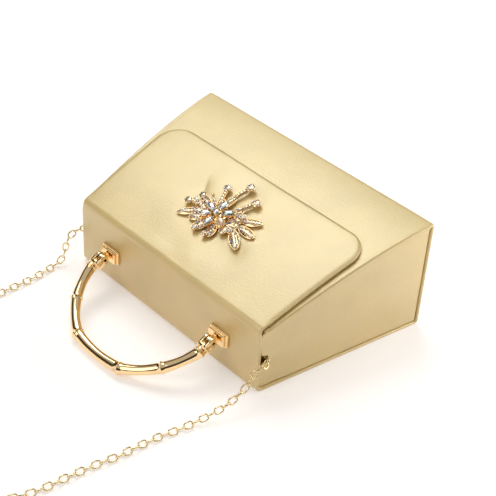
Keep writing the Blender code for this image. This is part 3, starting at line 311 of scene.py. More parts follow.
@dataclass(frozen=True)
class CameraPose:
    """The camera fitted to the photograph's corners, edges and folds."""

    # Degrees to the right of a look along +Y, degrees above the horizon, and degrees turned
    azimuth: float = 44.947
    elevation: float = 36.123
    roll: float = 3.912
    # Focal length in pixels of a picture IMAGE_SIDE wide, and the point looked at with its distance
    focal_pixels: float = 1224.77
    distance: float = 0.76947
    target: tuple = (0.004313, 0.063975, 0.03)

    def build(self, form: BoxForm) -> None:
        """Makes the camera and looks through it.

        Args:
            form: The purse's form, for its frame.
        """
        azimuth, elevation, roll = (math.radians(angle) for angle in (self.azimuth, self.elevation, self.roll))
        towards_eye = Vector((math.sin(azimuth) * math.cos(elevation), -math.cos(azimuth) * math.cos(elevation),
                              math.sin(elevation)))
        level = (-towards_eye).cross(Vector((0, 0, 1))).normalized()
        upright = level.cross(-towards_eye)
        right = math.cos(roll) * level + math.sin(roll) * upright
        up = -math.sin(roll) * level + math.cos(roll) * upright
        target = Vector(form.in_row(self.target))
        lens = bpy.data.cameras.new("camera")
        lens.sensor_width = SENSOR_WIDTH_MM
        lens.lens = self.focal_pixels / IMAGE_SIDE * lens.sensor_width
        lens.clip_start = 0.01
        camera = bpy.data.objects.new("camera", lens)
        bpy.context.scene.collection.objects.link(camera)
        turned = Matrix((right, up, towards_eye)).transposed().to_4x4()
        camera.matrix_world = Matrix.Translation(target + towards_eye * self.distance) @ turned
        bpy.context.scene.camera = camera


class Nodes:
    """Adds nodes to one tree in few words and links them."""

    def __init__(self, tree: NodeTree) -> None:
        """Keeps the tree."""
        self.tree = tree

    def feed(self, socket: NodeSocket, value: object) -> None:
        """Sets an input socket's value, or links it from an output socket.

        Args:
            socket: The input socket.
            value: Its value, or the output that feeds it.
        """
        if isinstance(value, NodeSocket):
            self.tree.links.new(value, socket)
        else:
            socket.default_value = value

    def add(self, kind: str, values: Optional[dict] = None, **settings: object) -> Node:
        """Adds a node.

        Args:
            kind: The node's type, without the word that all shader nodes start with.
            values: Input sockets by name or number, each with its value or the output that feeds it.
            settings: The node's own settings, which are made before its inputs.

        Returns:
            The node.
        """
        node = self.tree.nodes.new("ShaderNode" + kind)
        for name, value in settings.items():
            setattr(node, name, value)
        for socket, value in (values or {}).items():
            self.feed(node.inputs[socket], value)
        return node

    def calc(self, kind: str, first: object, second: object) -> NodeSocket:
        """The result of a Math node of two values."""
        return self.add("Math", {0: first, 1: second}, operation=kind).outputs[0]

    def mix(self, factor: object, first: object, second: object) -> NodeSocket:
        """The result of a colour mix."""
        return self.add("Mix", {0: factor, 6: first, 7: second}, data_type="RGBA").outputs[2]

    def remap(self, value: object, span: tuple, result: tuple = (0.0, 1.0)) -> NodeSocket:
        """The result of a smooth Map Range node."""
        values = dict(zip(("Value", "From Min", "From Max", "To Min", "To Max"), (value, *span, *result)))
        return self.add("MapRange", values, interpolation_type="SMOOTHSTEP").outputs[0]

    def noise(self, place: object, scale: object, detail: float) -> NodeSocket:
        """The value of a noise texture at a place."""
        return self.add("TexNoise", {"Vector": place, "Scale": scale, "Detail": detail}).outputs["Fac"]

    def drawn_out(self, place: object, scales: tuple) -> NodeSocket:
        """A place with each of its axes multiplied by a scale of its own."""
        stretch = self.add("CombineXYZ", dict(enumerate(scales))).outputs[0]
        return self.add("VectorMath", {0: place, 1: stretch}, operation="MULTIPLY").outputs[0]

    def bump(self, height: object, strength: float, depth: float, invert: bool = False) -> NodeSocket:
        """The normal of a Bump node."""
        values = {"Strength": strength, "Distance": depth, "Height": height}
        return self.add("Bump", values, invert=invert).outputs[0]


def new_group(name: str, density: float, outputs: Sequence[str]) -> tuple:
    """An empty node group that takes a place and a density.

    Args:
        name: The group's name.
        density: The density where none is given, in marks for each metre.
        outputs: Names of the outputs, all of them values.

    Returns:
        The group, its Nodes, the sockets of place and density, and those of its results.
    """
    tree = bpy.data.node_groups.new(name, "ShaderNodeTree")
    tree.interface.new_socket("Place", in_out="INPUT", socket_type="NodeSocketVector")
    tree.interface.new_socket("Density", in_out="INPUT", socket_type="NodeSocketFloat").default_value = density
    for label in outputs:
        tree.interface.new_socket(label, in_out="OUTPUT", socket_type="NodeSocketFloat")
    given, result = tree.nodes.new("NodeGroupInput"), tree.nodes.new("NodeGroupOutput")
    return tree, Nodes(tree), given.outputs["Place"], given.outputs["Density"], result.inputs


class Effects:
    """The effects that several materials share, each a node group that is built once."""

    def __init__(self) -> None:
        """Builds the groups."""
        self.threads = self.build_threads()
        self.grain = self.build_grain()
        self.handling = self.build_handling()

    def build_threads(self) -> NodeTree:
        """Woven threads: noise drawn out along the warp, crossed by noise drawn out along the weft."""
        tree, nodes, place, density, result = new_group("woven_threads", 2500.0, ("Height", "Slub"))
        coarse = nodes.calc("MULTIPLY", density, 0.12)
        warp, weft = (nodes.noise(nodes.drawn_out(place, scales), 1.0, 1.0)
                      for scales in ((density, coarse, coarse), (coarse, density, coarse)))
        nodes.feed(result["Height"], nodes.calc("MAXIMUM", warp, weft))
        nodes.feed(result["Slub"], nodes.remap(weft, (0.6, 0.75)))
        return tree

    def build_grain(self) -> NodeTree:
        """A soft uneven grain at one size, and a slow change of tone at thirty times that size."""
        tree, nodes, place, density, result = new_group("soft_grain", 900.0, ("Height", "Tone"))
        slow = nodes.noise(place, nodes.calc("DIVIDE", density, 30.0), 2.0)
        nodes.feed(result["Height"], nodes.noise(place, density, 2.5))
        nodes.feed(result["Tone"], nodes.remap(slow, (0.3, 0.7)))
        return tree

    def build_handling(self) -> NodeTree:
        """The marks of handling: cloudy patches, and hairline scratches from noise that is drawn out a lot."""
        tree, nodes, place, density, result = new_group("handling_marks", 200.0, ("Cloud", "Scratch"))
        fine = nodes.calc("MULTIPLY", density, 22.0)
        hair = nodes.noise(nodes.drawn_out(place, (density, fine, fine)), 0.6, 1.0)
        nodes.feed(result["Cloud"], nodes.remap(nodes.noise(place, density, 3.0), (0.42, 0.7)))
        nodes.feed(result["Scratch"], nodes.remap(hair, (0.66, 0.72)))
        return tree


def new_material(name: str, constants: Optional[dict] = None) -> tuple:
    """An empty material.

    Args:
        name: Its name.
        constants: Fixed values of its shader, by socket.

    Returns:
        The material, its Nodes and its shader.
    """
    material = bpy.data.materials.new(name)
    material.use_nodes = True
    shader = material.node_tree.nodes["Principled BSDF"]
    for label, value in (constants or {}).items():
        shader.inputs[label].default_value = value
    return material, Nodes(material.node_tree), shader


def shade(colour: Sequence[float], share: float = 1.0) -> tuple:
    """A colour made darker or lighter, with its alpha."""
    return tuple(min(value * share, 1.0) for value in colour) + (1.0,)


@dataclass(frozen=True)
class Metal:
    """A plated or plain metal: cloudy gloss, hairline scratches and a duller tone where it is handled."""

    name: str
    colour: tuple
    # Roughness of the clean surface, how much rougher handled places are, and their number a metre
    roughness: float
    wear: float
    marks: float = 160.0
    # Share of the colour that they keep, a scratch's wear as a factor of theirs, and its depth
    dulled: float = 0.94
    scratch_wear: float = 1.5
    scratch_depth: float = 0.00002

    def build(self, effects: Effects) -> Material:
        """Makes the material from the handling marks in the piece's own space.

        Args:
            effects: The shared node groups.

        Returns:
            The material.
        """
        material, nodes, shader = new_material(self.name, {"Metallic": 1.0})
        place = nodes.add("TexCoord").outputs["Object"]
        marks = nodes.add("Group", {"Place": place, "Density": self.marks}, node_tree=effects.handling)
        cloud, scratch = marks.outputs["Cloud"], marks.outputs["Scratch"]
        colour = nodes.mix(cloud, shade(self.colour), shade(self.colour, self.dulled))
        worn = nodes.calc("ADD", cloud, nodes.calc("MULTIPLY", scratch, self.scratch_wear))
        rough = nodes.calc("ADD", nodes.calc("MULTIPLY", worn, self.wear), self.roughness)
        nodes.feed(shader.inputs["Base Color"], colour)
        nodes.feed(shader.inputs["Roughness"], rough)
        nodes.feed(shader.inputs["Normal"], nodes.bump(scratch, 0.12, self.scratch_depth, invert=True))
        return material


@dataclass(frozen=True)
class Cloth:
    """A woven cloth: crossed threads with slubs, a soft grain, and a coat that gives satin its pale sheen."""

    name: str
    colour: tuple
    # How the threads look, and the weight and roughness of the pale sheen over them
    metallic: float
    roughness: float
    coat: float
    coat_roughness: float
    # Threads, and places of the soft grain, for each metre, and the grain's depth
    threads: float
    grain: float
    relief: float
    # How much the colour and the roughness change from place to place
    tone: float
    uneven: float = 0.06
    # How far a thick thread goes towards its own tone, and that tone's share of the colour
    slub: float = 0.35
    slub_tone: float = 0.86
    # Height of the threads, as a share of the grain's
    thread_relief: float = 0.25

    def build(self, effects: Effects) -> Material:
        """Makes the material: threads follow the piece's UV map in metres, the grain its own space.

        Args:
            effects: The shared node groups.

        Returns:
            The material.
        """
        material, nodes, shader = new_material(self.name, {
            "Metallic": self.metallic, "Coat Weight": self.coat, "Coat IOR": 2.0,
            "Coat Roughness": self.coat_roughness})
        place = nodes.add("TexCoord").outputs
        woven = nodes.add("Group", {"Place": place["UV"], "Density": self.threads}, node_tree=effects.threads)
        soft = nodes.add("Group", {"Place": place["Object"], "Density": self.grain}, node_tree=effects.grain)
        dark, light = shade(self.colour, 1 - self.tone), shade(self.colour, 1 + self.tone)
        tone = nodes.mix(soft.outputs["Tone"], dark, light)
        slub = nodes.calc("MULTIPLY", woven.outputs["Slub"], self.slub)
        rough = nodes.remap(soft.outputs["Height"], (0.3, 0.7),
                            (self.roughness - self.uneven, self.roughness + self.uneven))
        threads = nodes.calc("MULTIPLY", woven.outputs["Height"], self.thread_relief)
        height = nodes.calc("ADD", soft.outputs["Height"], threads)
        nodes.feed(shader.inputs["Base Color"], nodes.mix(slub, tone, shade(self.colour, self.slub_tone)))
        nodes.feed(shader.inputs["Roughness"], rough)
        nodes.feed(shader.inputs["Normal"], nodes.bump(height, 1.0, self.relief))
        return material


@dataclass(frozen=True)
class CutGlass:
    """Cut glass over a foil, its glints painted: cells of brighter and darker colour stand in for facets that
    throw back different parts of the light.
    """

    name: str
    # Colours of the bright and of the dark facets, painted glints and painted reflections of a dark room, and
    # facets for each metre
    colour: tuple
    dark: tuple
    facets: float
    # How much of the light the foil throws back, and how far facets stray from an even grid
    foil: float = 0.75
    uneven: float = 0.8
    # Roughness of the darkest and of the brightest facets
    gloss: tuple = (0.05, 0.22)

    def build(self) -> Material:
        """Makes the material: cells of different brightness, painted glints of facets, over a mirror, under a
        hard clear coat.

        Returns:
            The material.
        """
        material, nodes, shader = new_material(self.name, {
            "Metallic": self.foil, "Coat Weight": 1.0, "Coat Roughness": 0.02, "Coat IOR": 1.6})
        place = nodes.add("TexCoord").outputs["Object"]
        cells = nodes.add("TexVoronoi", {"Vector": place, "Scale": self.facets, "Randomness": self.uneven})
        value = nodes.add("SeparateColor", {0: cells.outputs["Color"]}).outputs[0]
        # Painted glints and reflections: each cell's colour lies between the dark and the bright facet colour
        colour = nodes.mix(nodes.remap(value, (0.25, 0.75)), shade(self.dark), shade(self.colour))
        nodes.feed(shader.inputs["Base Color"], colour)
        nodes.feed(shader.inputs["Roughness"], nodes.remap(value, (0.0, 1.0), self.gloss))
        return material


class Finish(Enum):
    """The finishes of the purse, each with the name of its slot in the record."""

    SATIN = "satin"
    LINING = "lining"
    ROSE_GOLD = "rose_gold"
    CHAIN_GOLD = "chain_gold"
    STEEL = "steel"
    CRYSTAL = "crystal"
    AMBER = "amber"
    GREY_GREEN = "grey_green"


CLOTHS = {
    Finish.SATIN: Cloth("satin", (0.73, 0.54, 0.2), 0.18, 0.44, 1.0, 0.4, 5200, 1000, 0.00026, 0.04),
    Finish.LINING: Cloth("lining", (0.58, 0.44, 0.23), 0.0, 0.62, 0.1, 0.5, 3600, 1200, 0.00005, 0.05),
}
METALS = {
    Finish.ROSE_GOLD: Metal("rose_gold", (0.98, 0.72, 0.4), 0.04, 0.04),
    Finish.CHAIN_GOLD: Metal("chain_gold", (0.94, 0.76, 0.45), 0.1, 0.08),
    Finish.STEEL: Metal("steel", (0.6, 0.6, 0.61), 0.28, 0.14),
}
# Each stone's bright and dark colours are painted glints and reflections of its facets
GLASSES = {
    Finish.CRYSTAL: CutGlass("crystal", (1.0, 0.98, 0.96), (0.52, 0.48, 0.46), 1100),
    Finish.AMBER: CutGlass("amber", (0.74, 0.52, 0.36), (0.52, 0.33, 0.21), 260, 0.15),
    Finish.GREY_GREEN: CutGlass("grey_green", (0.8, 0.86, 0.8), (0.28, 0.36, 0.32), 500),
}
# The pave's bright and dark colours are painted glints of its small stones
PAVE_GLASS = CutGlass("pave", (1.0, 0.95, 0.92), (0.3, 0.25, 0.24), 640, 0.6)


def build_finishes() -> dict:
    """Makes all the materials.

    Returns:
        The materials, by finish.
    """
    effects = Effects()
    finishes = {finish: kind.build(effects) for kinds in (CLOTHS, METALS) for finish, kind in kinds.items()}
    finishes.update({finish: glass.build() for finish, glass in GLASSES.items()})
    return finishes


@dataclass
class Chain:
    """The shoulder chain: oval cable links on a smooth route, wound up where the photograph doesn't show it."""

    form: BoxForm
    metal: Material
    # A link: outer sizes, the wire's radius, the distance to the next, and points
    width: float = 0.0046
    link_length: float = 0.0066
    wire: float = 0.00052
    pitch: float = 0.00478
    link_points: int = 14
    wire_sides: int = 5
    # The coil on the table: middle, outer radius, distance of turns and of layers, and turns
    coil_centre: tuple = (-0.049, -0.132)
    coil_radius: float = 0.0296
    coil_pitch: float = 0.0051
    coil_turns_in: float = 2.375
    coil_climb_turns: float = 0.5
    coil_steps: int = 24
    # The chain's real length, and the step of the cord's path
    length: float = 1.2
    path_step: float = 0.003

    # Routes in the purse frame, from the ring inside the mouth to the coil and back
    right_start = (0.080058, 0.008152, 0.022)
    left_start = (-0.080058, 0.008152, 0.022)
    right_route = (
        (0.0814, 0.0073, 0.022), (0.0829, 0.0063, 0.022), (0.0843, 0.0048, 0.022),
        (0.0854, 0.0031, 0.022), (0.0861, 0.0011, 0.022), (0.0863, -0.0011, 0.022),
        (0.0863, -0.0037, 0.0216), (0.0863, -0.0062, 0.0206), (0.0863, -0.0082, 0.0189),
        (0.0863, -0.01, 0.017), (0.0863, -0.0118, 0.0154), (0.0863, -0.0137, 0.014),
        (0.0861, -0.0191, 0.0112), (0.0855, -0.0247, 0.0087), (0.084, -0.0311, 0.0064),
        (0.0822, -0.0377, 0.0046), (0.0805, -0.0444, 0.0033), (0.079, -0.0512, 0.0026),
        (0.0777, -0.0573, 0.0023), (0.076, -0.0645, 0.0023), (0.0747, -0.0741, 0.0023),
        (0.0736, -0.0834, 0.0023), (0.0732, -0.0915, 0.0023), (0.0708, -0.1028, 0.0023),
        (0.0681, -0.1205, 0.0023), (0.0661, -0.1381, 0.0023), (0.0632, -0.148, 0.0023),
        (0.0584, -0.159, 0.0023), (0.0475, -0.168, 0.0023), (0.03, -0.1705, 0.0023),
        (0.01, -0.168, 0.0023), (-0.008, -0.1635, 0.0023), (-0.024, -0.1609, 0.0023),
    )
    left_route = tuple((-x, y, z) for x, y, z in right_route[:6]) + (
        (-0.0863, -0.0052, 0.0211), (-0.0863, -0.0086, 0.0185), (-0.0863, -0.0105, 0.0147),
        (-0.0863, -0.0119, 0.0095), (-0.0863, -0.0139, 0.0058), (-0.0863, -0.0173, 0.0032),
        (-0.0862, -0.0214, 0.0023), (-0.0854, -0.027, 0.0023), (-0.0845, -0.033, 0.0023),
        (-0.0839, -0.041, 0.0023), (-0.084, -0.063, 0.0023), (-0.0832, -0.08, 0.0023),
        (-0.0812, -0.0945, 0.0027), (-0.079, -0.107, 0.0048), (-0.0776, -0.116, 0.0068),
    )

    def coil(self) -> Array:
        """The coil's centreline: spirals in at a steady rate, climbs a layer and spirals out again.

        The climb is the smooth step 3c^2 - 2c^3 of the share c of the climbing turns.

        Returns:
            Its points in the purse frame.
        """
        total = self.coil_turns_in * 2 + self.coil_climb_turns
        turns = np.linspace(0, total, int(round(total * self.coil_steps)) + 1)
        middle = total / 2
        radius = self.coil_radius - self.coil_pitch * (middle - np.abs(turns - middle))
        climb = np.clip((turns - self.coil_turns_in) / self.coil_climb_turns, 0, 1)
        height = self.width / 2 + self.coil_pitch * climb ** 2 * (3 - 2 * climb)
        angle = -math.pi / 2 - math.tau * turns
        x = self.coil_centre[0] + radius * np.cos(angle)
        y = self.coil_centre[1] + radius * np.sin(angle)
        return np.stack([x, y, height], 1)

    def route(self) -> Array:
        """The whole chain's centreline, from the right ring over the coil to the left ring.

        Returns:
            Its points in the purse frame.
        """
        low, high = self.width / 2, self.width / 2 + self.coil_pitch
        way_in = np.array([self.coil_centre[0] + self.width, self.coil_centre[1] - self.coil_radius, low])
        way_out = np.array([self.coil_centre[0] - self.coil_radius, self.coil_centre[1] + self.width, high])
        right_end = way_in + np.array([[self.width * 2, 0, 0], [self.width, 0, 0], [0, 0, 0]])
        left_end = way_out + np.array([[0, 0, 0], [0, self.width, 0]])
        before = smooth_curve(np.vstack([self.right_start, self.right_route, right_end]))
        after = smooth_curve(np.vstack([left_end, self.left_route[::-1], self.left_start]))
        return np.vstack([before[:-1], self.coil(), after[1:]])

    def build(self) -> None:
        curve = self.form.in_row(self.route())
        length = float(travelled(curve)[-1])
        count = int(length / self.pitch)
        places, along = along_curve(curve, (np.arange(count) + 0.5) * length / count)
        level = unit(np.cross(along, [0, 0, 1.0]))
        upright = np.cross(level, along)
        roll = np.where(np.arange(count) % 2, 1, -1)[:, None] * math.pi / 4
        side = level * np.cos(roll) + upright * np.sin(roll)
        oval = stadium(self.link_length / 2 - self.wire, self.width / 2 - self.wire, self.link_points)
        rings = rings_along(places, along, side, oval, self.wire, self.wire_sides)
        patches = [Patch(np.concatenate([ring, ring[:1]]), wraps=True) for ring in rings]
        links = make_piece("chain_links", patches, self.metal)
        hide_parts("chain_right", "chain_coil", "chain_left")
        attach(links, "body")


def smooth_curve(knots: Array, steps: int = 24) -> Array:
    """Points of a smooth curve through knots: cubics between them, whose tangents follow the neighbours.

    Args:
        knots: The points to pass through, count by 3.
        steps: Points for each stretch between two knots.

    Returns:
        The curve's points, its ends the first and last knot.
    """
    padded = np.vstack([2 * knots[0] - knots[1], knots, 2 * knots[-1] - knots[-2]])
    before, start, end, after = padded[:-3, None], padded[1:-2, None], padded[2:-1, None], padded[3:, None]
    t = np.linspace(0, 1, steps, endpoint=False)[None, :, None]
    points = 0.5 * (2 * start + (end - before) * t + (2 * before - 5 * start + 4 * end - after) * t ** 2
                    + (3 * start - before - 3 * end + after) * t ** 3)
    return np.vstack([points.reshape(-1, 3), knots[-1:]])


def travelled(points: Array) -> Array:
    """Distance along a path at each of its points."""
    return np.concatenate([[0], np.cumsum(np.linalg.norm(np.diff(points, axis=0), axis=1))])


def read_at(path: Array, along: Array, marks: Array) -> Array:
    """Points of a path at distances along it, on the straight lines between its own points."""
    return np.stack([np.interp(marks, along, axis) for axis in path.T], 1)


def along_curve(curve: Array, marks: Array) -> tuple:
    """Places and directions at distances along a curve.

    A direction runs from the place two of the curve's steps behind to the place two steps ahead.

    Args:
        curve: The curve's points, close together.
        marks: Distances along it.

    Returns:
        The points at the marks, the unit directions there.
    """
    along = travelled(curve)
    reach = np.diff(along).mean() * 2
    heading = read_at(curve, along, marks + reach) - read_at(curve, along, marks - reach)
    return read_at(curve, along, marks), unit(heading)


def around(grid: Array) -> Array:
    """A grid's outermost points: down its last column, back along its last row, up its first, along its top."""
    return np.concatenate([grid[:, -1], grid[-1, ::-1], grid[::-1, 0], grid[0]])


def shell(outer: Array, inner: Array, rim: Array, cloth: Array, steps: int = 9) -> list:
    """A sheet with a thickness: two grids and a band round them, a half oval from the one to the other.

    Args:
        outer: The outer face, rows by columns by 3.
        inner: The inner face, with the same counts.
        rim: For each outermost point in around()'s order, how far the band bulges, by 3.
        cloth: UV of the faces, rows by columns by 2.
        steps: Points across the band.

    Returns:
        The three patches.
    """
    turn = np.linspace(0, math.pi, steps)[:, None, None]
    band = (around(outer) * (1 + np.cos(turn)) + around(inner) * (1 - np.cos(turn))) / 2 + rim * np.sin(turn)
    edge = around(cloth)
    edge = np.concatenate([edge, edge[:1]])
    return [Patch(outer, cloth), Patch(inner, cloth), Patch(band, np.repeat(edge[None], steps, 0), wraps=True)]


def arc(centre: tuple, radius: float, start: float, stop: float, steps: int) -> Array:
    """Points of a circle's arc in the YZ plane."""
    turn = np.radians(np.linspace(start, stop, steps))
    return np.stack([centre[0] + radius * np.cos(turn), centre[1] + radius * np.sin(turn)], 1)


def stretch(y: object, z: object) -> Array:
    """Points of a path in the YZ plane from their y and z, of which one may be the same for all."""
    return np.stack(np.broadcast_arrays(np.asarray(y, float), np.asarray(z, float)), 1)


def bell(distance: Array, width: float) -> Array:
    """A bell curve: e to the power of minus half the square of distance over width."""
    return np.exp(-0.5 * (distance / width) ** 2)


def pillow(edge: Array, height: float, reach: float) -> Array:
    """A padded board's crown: it grows from the edge inwards to its height as 1 - e^(-distance / reach)."""
    return height * (1 - np.exp(-edge / reach))


@dataclass
class Board:
    """A covered board across the purse: a strip carried along a path in the YZ plane, its edges rounded."""

    # The two faces' paths as y and z, and half the width at each of their points
    outer: Array
    inner: Array
    half: Array
    # Radius of the corners at the end, and whether the start has a rounded edge as the end has
    corner: float = 0.0
    round_start: bool = False
    # Height over the outer face, from x, the distance along the path and the distance to the edge
    relief: Optional[Callable] = None
    # Distances of columns from the flat edge, and the most of half the strip that they take
    margins: tuple = (0, 0.0004, 0.0008, 0.0011, 0.0014, 0.0017, 0.0021, 0.0028, 0.0042, 0.007)
    margin_share: float = 0.3
    # Columns between the margins, and rows of a rounded corner
    middle: int = 32
    corner_rows: int = 16
    # Least distances of a row from the strip's start and from its corners
    clear: tuple = (0.00001, 0.0002)
    # How far the path is looked ahead and back for its direction
    look: float = 0.0001

    def patches(self) -> list:
        """The strip's closed surface.

        The flat outline lies half a thickness inside the edge. In a corner it is a quarter circle: the edge is
        drawn in by r - sqrt(r^2 - (r - d)^2) at a distance d from the end. The rim is a half circle round it.

        Returns:
            Patches in the purse frame.
        """
        along = travelled(self.outer)
        wall = np.linalg.norm(self.outer - self.inner, axis=1)
        start = wall[0] / 2 if self.round_start else 0
        stop = along[-1] - wall[-1] / 2
        radius = max(self.corner - wall[-1] / 2, 0)
        field = along[(along > start + self.clear[0]) & (along < stop - radius - self.clear[1])]
        bend = stop - radius * (1 - np.sin(np.linspace(0, math.pi / 2, self.corner_rows if radius else 1)))
        rows = np.concatenate([[start], field, bend])
        left = np.clip(stop - rows, 0, None)
        kept = np.sqrt(np.clip(radius ** 2 - (radius - left) ** 2, 0, None))
        draw = np.where(left < radius, radius - kept, 0)
        reach = np.interp(rows, along, wall) / 2
        edge = np.interp(rows, along, self.half) - reach - draw
        x = self.columns(edge)
        travel = np.broadcast_to(rows[:, None], x.shape)
        outer, inner = (self.place(read_at(path, along, rows), x) for path in (self.outer, self.inner))
        if self.relief:
            to_edge = np.minimum(edge[:, None] - np.abs(x), left[:, None])
            outer = outer + unit(outer - inner) * self.relief(x, travel, to_edge)[..., None]
        heading = read_at(self.outer, along, rows + self.look) - read_at(self.outer, along, rows - self.look)
        lean = np.clip((radius - left) / radius, 0, 1) if radius else np.zeros(len(rows))
        return shell(outer, inner, self.rim(unit(heading), reach, lean, x.shape[1]), np.stack([x, travel], -1))

    def columns(self, edge: Array) -> Array:
        """Where the points of each row lie across the strip: close together in the margins, even between them.

        Args:
            edge: Distance of the flat outline from the middle, for each row.

        Returns:
            Rows by columns, each row from left to right.
        """
        margin = np.array(self.margins)
        reach = np.minimum(margin[-1], edge * self.margin_share) / margin[-1]
        side = edge[:, None] - margin[None] * reach[:, None]
        share = np.linspace(-1, 1, self.middle + 2)[1:-1]
        return np.concatenate([-side, share[None] * side[:, -1:], side[:, ::-1]], 1)

    def place(self, path: Array, x: Array) -> Array:
        """A grid of points from one y and z for each row and the points' x."""
        return np.concatenate([x[..., None], np.broadcast_to(path[:, None], (*x.shape, 2))], -1)

    def rim(self, heading: Array, reach: Array, lean: Array, columns: int) -> Array:
        """How far the rounded edge bulges, square to the outline, for each outermost point.

        Args:
            heading: The path's unit direction at each row.
            reach: Half the strip's thickness at each row.
            lean: How far the outline's normal leans ahead at each row, as the sine of its angle.
            columns: How many columns the strip has.

        Returns:
            The bulges in around()'s order.
        """
        ahead = np.concatenate([np.zeros((len(reach), 1)), heading], 1)
        across = np.sqrt(1 - lean ** 2)[:, None] * np.array([[1.0, 0, 0]])
        right = reach[:, None] * (across + lean[:, None] * ahead)
        left = right * np.array([-1, 1, 1])
        last = np.repeat(ahead[-1:] * reach[-1], columns, 0)
        first = -np.repeat(ahead[:1] * reach[0], columns, 0) * self.round_start
        return np.concatenate([right, last, left[::-1], first])


def ring_of(outline: Array, inset: float) -> Array:
    """An outline moved inwards along its own normals, which the sign of its area points the right way.

    Args:
        outline: The outline's points in a plane.
        inset: How far it is moved.

    Returns:
        The moved points.
    """
    ahead = unit(np.roll(outline, -1, 0) - np.roll(outline, 1, 0))
    area = np.sum(outline[:, 0] * np.roll(outline[:, 1], -1) - np.roll(outline[:, 0], -1) * outline[:, 1])
    inward = np.stack([-ahead[:, 1], ahead[:, 0]], 1) * np.sign(area)
    return outline + inward * inset


def raised(rings: Array, heights: Sequence[float]) -> Patch:
    """One wrapped patch from rings in a plane, each raised to its own height."""
    height = np.broadcast_to(np.array(heights, float)[:, None, None], (*rings.shape[:2], 1))
    return Patch(np.concatenate([rings, height], 2), wraps=True)


def rounded_prism(outline: Array, low: float, high: float, rounding: float, steps: int = 4) -> Patch:
    """An outline raised from one height to another, its two rims rounded by quarter circles.

    Args:
        outline: The outline's points in a plane.
        low: Height of its foot.
        high: Height of its top.
        rounding: Radius of the rims.
        steps: Rings in each rim.

    Returns:
        One wrapped patch, with its ends drawn together in their middles.
    """
    middle = outline.mean(0)
    rings, heights = [np.broadcast_to(middle, outline.shape)], [low]
    turn = np.linspace(0, math.pi / 2, steps)
    for angle in turn:
        rings.append(ring_of(outline, rounding * (1 - math.sin(angle))))
        heights.append(low + rounding * (1 - math.cos(angle)))
    for angle in turn[::-1]:
        rings.append(ring_of(outline, rounding * (1 - math.sin(angle))))
        heights.append(high - rounding * (1 - math.cos(angle)))
    top = rings[-1] - middle
    rings += [middle + top * share for share in (0.75, 0.5, 0.25, 0)]
    return raised(np.array(rings), heights + [high] * 4)


def swept(path: Array, radii: Array, sides: int, closed: bool = False) -> Patch:
    """A round bar along a path in a level plane, a circle carried square to it.

    Args:
        path: Points by 3.
        radii: One radius for each point.
        sides: Points of the circle.
        closed: Whether the path runs into its own start. An open bar's ends are drawn together.

    Returns:
        One wrapped patch.
    """
    ahead = np.roll(path, -1, 0) - np.roll(path, 1, 0)
    if not closed:
        ahead[0], ahead[-1] = path[1] - path[0], path[-1] - path[-2]
    up = np.array([0.0, 0.0, 1.0])
    side = unit(np.cross(unit(ahead), up))
    turn = np.arange(sides) * math.tau / sides
    ring = side[:, None] * np.cos(turn)[None, :, None] + up * np.sin(turn)[None, :, None]
    points = path[:, None] + ring * radii[:, None, None]
    first, last = (points[:0], points[:1]) if closed else (
        np.repeat(path[:1, None], sides, 1), np.repeat(path[-1:, None], sides, 1))
    return Patch(np.concatenate([first, points, last]), wraps=True)


@dataclass
class SheetWork:
    """What the satin and the lining share: the form, one cloth, and the level at which the sides end."""

    form: BoxForm
    cloth: Material
    slot: str
    # Where the sides end, and how they dip for the chain: depth, place and half width as shares
    mouth_level: float = 0.0037
    dip: float = 0.005
    dip_place: float = 0.485
    dip_width: float = 0.088
    # How far before and after the front fold a piece would start and stop to bend
    fold_play: tuple = (0.001, 0.0004)

    def finish(self, name: str, patches: Sequence[Patch]) -> Object:
        """Makes a piece of this cloth from patches of the purse frame."""
        return make_piece(name, patches, self.cloth, self.form.in_row)

    def mouth(self, share: Array) -> Array:
        """Where the sides end: level, with a dip for the chain that falls off by the fourth power."""
        return self.mouth_level + self.dip * np.exp(-((share - self.dip_place) / self.dip_width) ** 4)

    def flap_half_width(self, path: Array) -> Array:
        """Half the flap's width at a path's points, which grows evenly from the fold to the flap's end."""
        widths = [self.form.flap_top_width / 2, self.form.flap_low_width / 2]
        return np.interp(path[:, 0], [0, self.form.flap_drop], widths)

    def bend_at_fold(self, piece: Object, fold: Array) -> None:
        """Works out where a piece would bend between the lid and the flap at the front fold, and bakes its
        place into its mesh without bending it.

        Args:
            piece: The piece.
            fold: The points of its path round the fold.
        """
        along, out = self.fold_play
        start = self.form.in_row([0, 0, self.form.fold_centre()[1] - along])
        stop = self.form.in_row([0, fold[-1, 0] + along, fold[-1, 1] + out])
        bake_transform(piece)


@dataclass(frozen=True)
class Hollow:
    """A soft hollow in the flap: its middle across and down, its depth, and its bell curve's width."""

    x: float
    y: float
    depth: float
    width: float


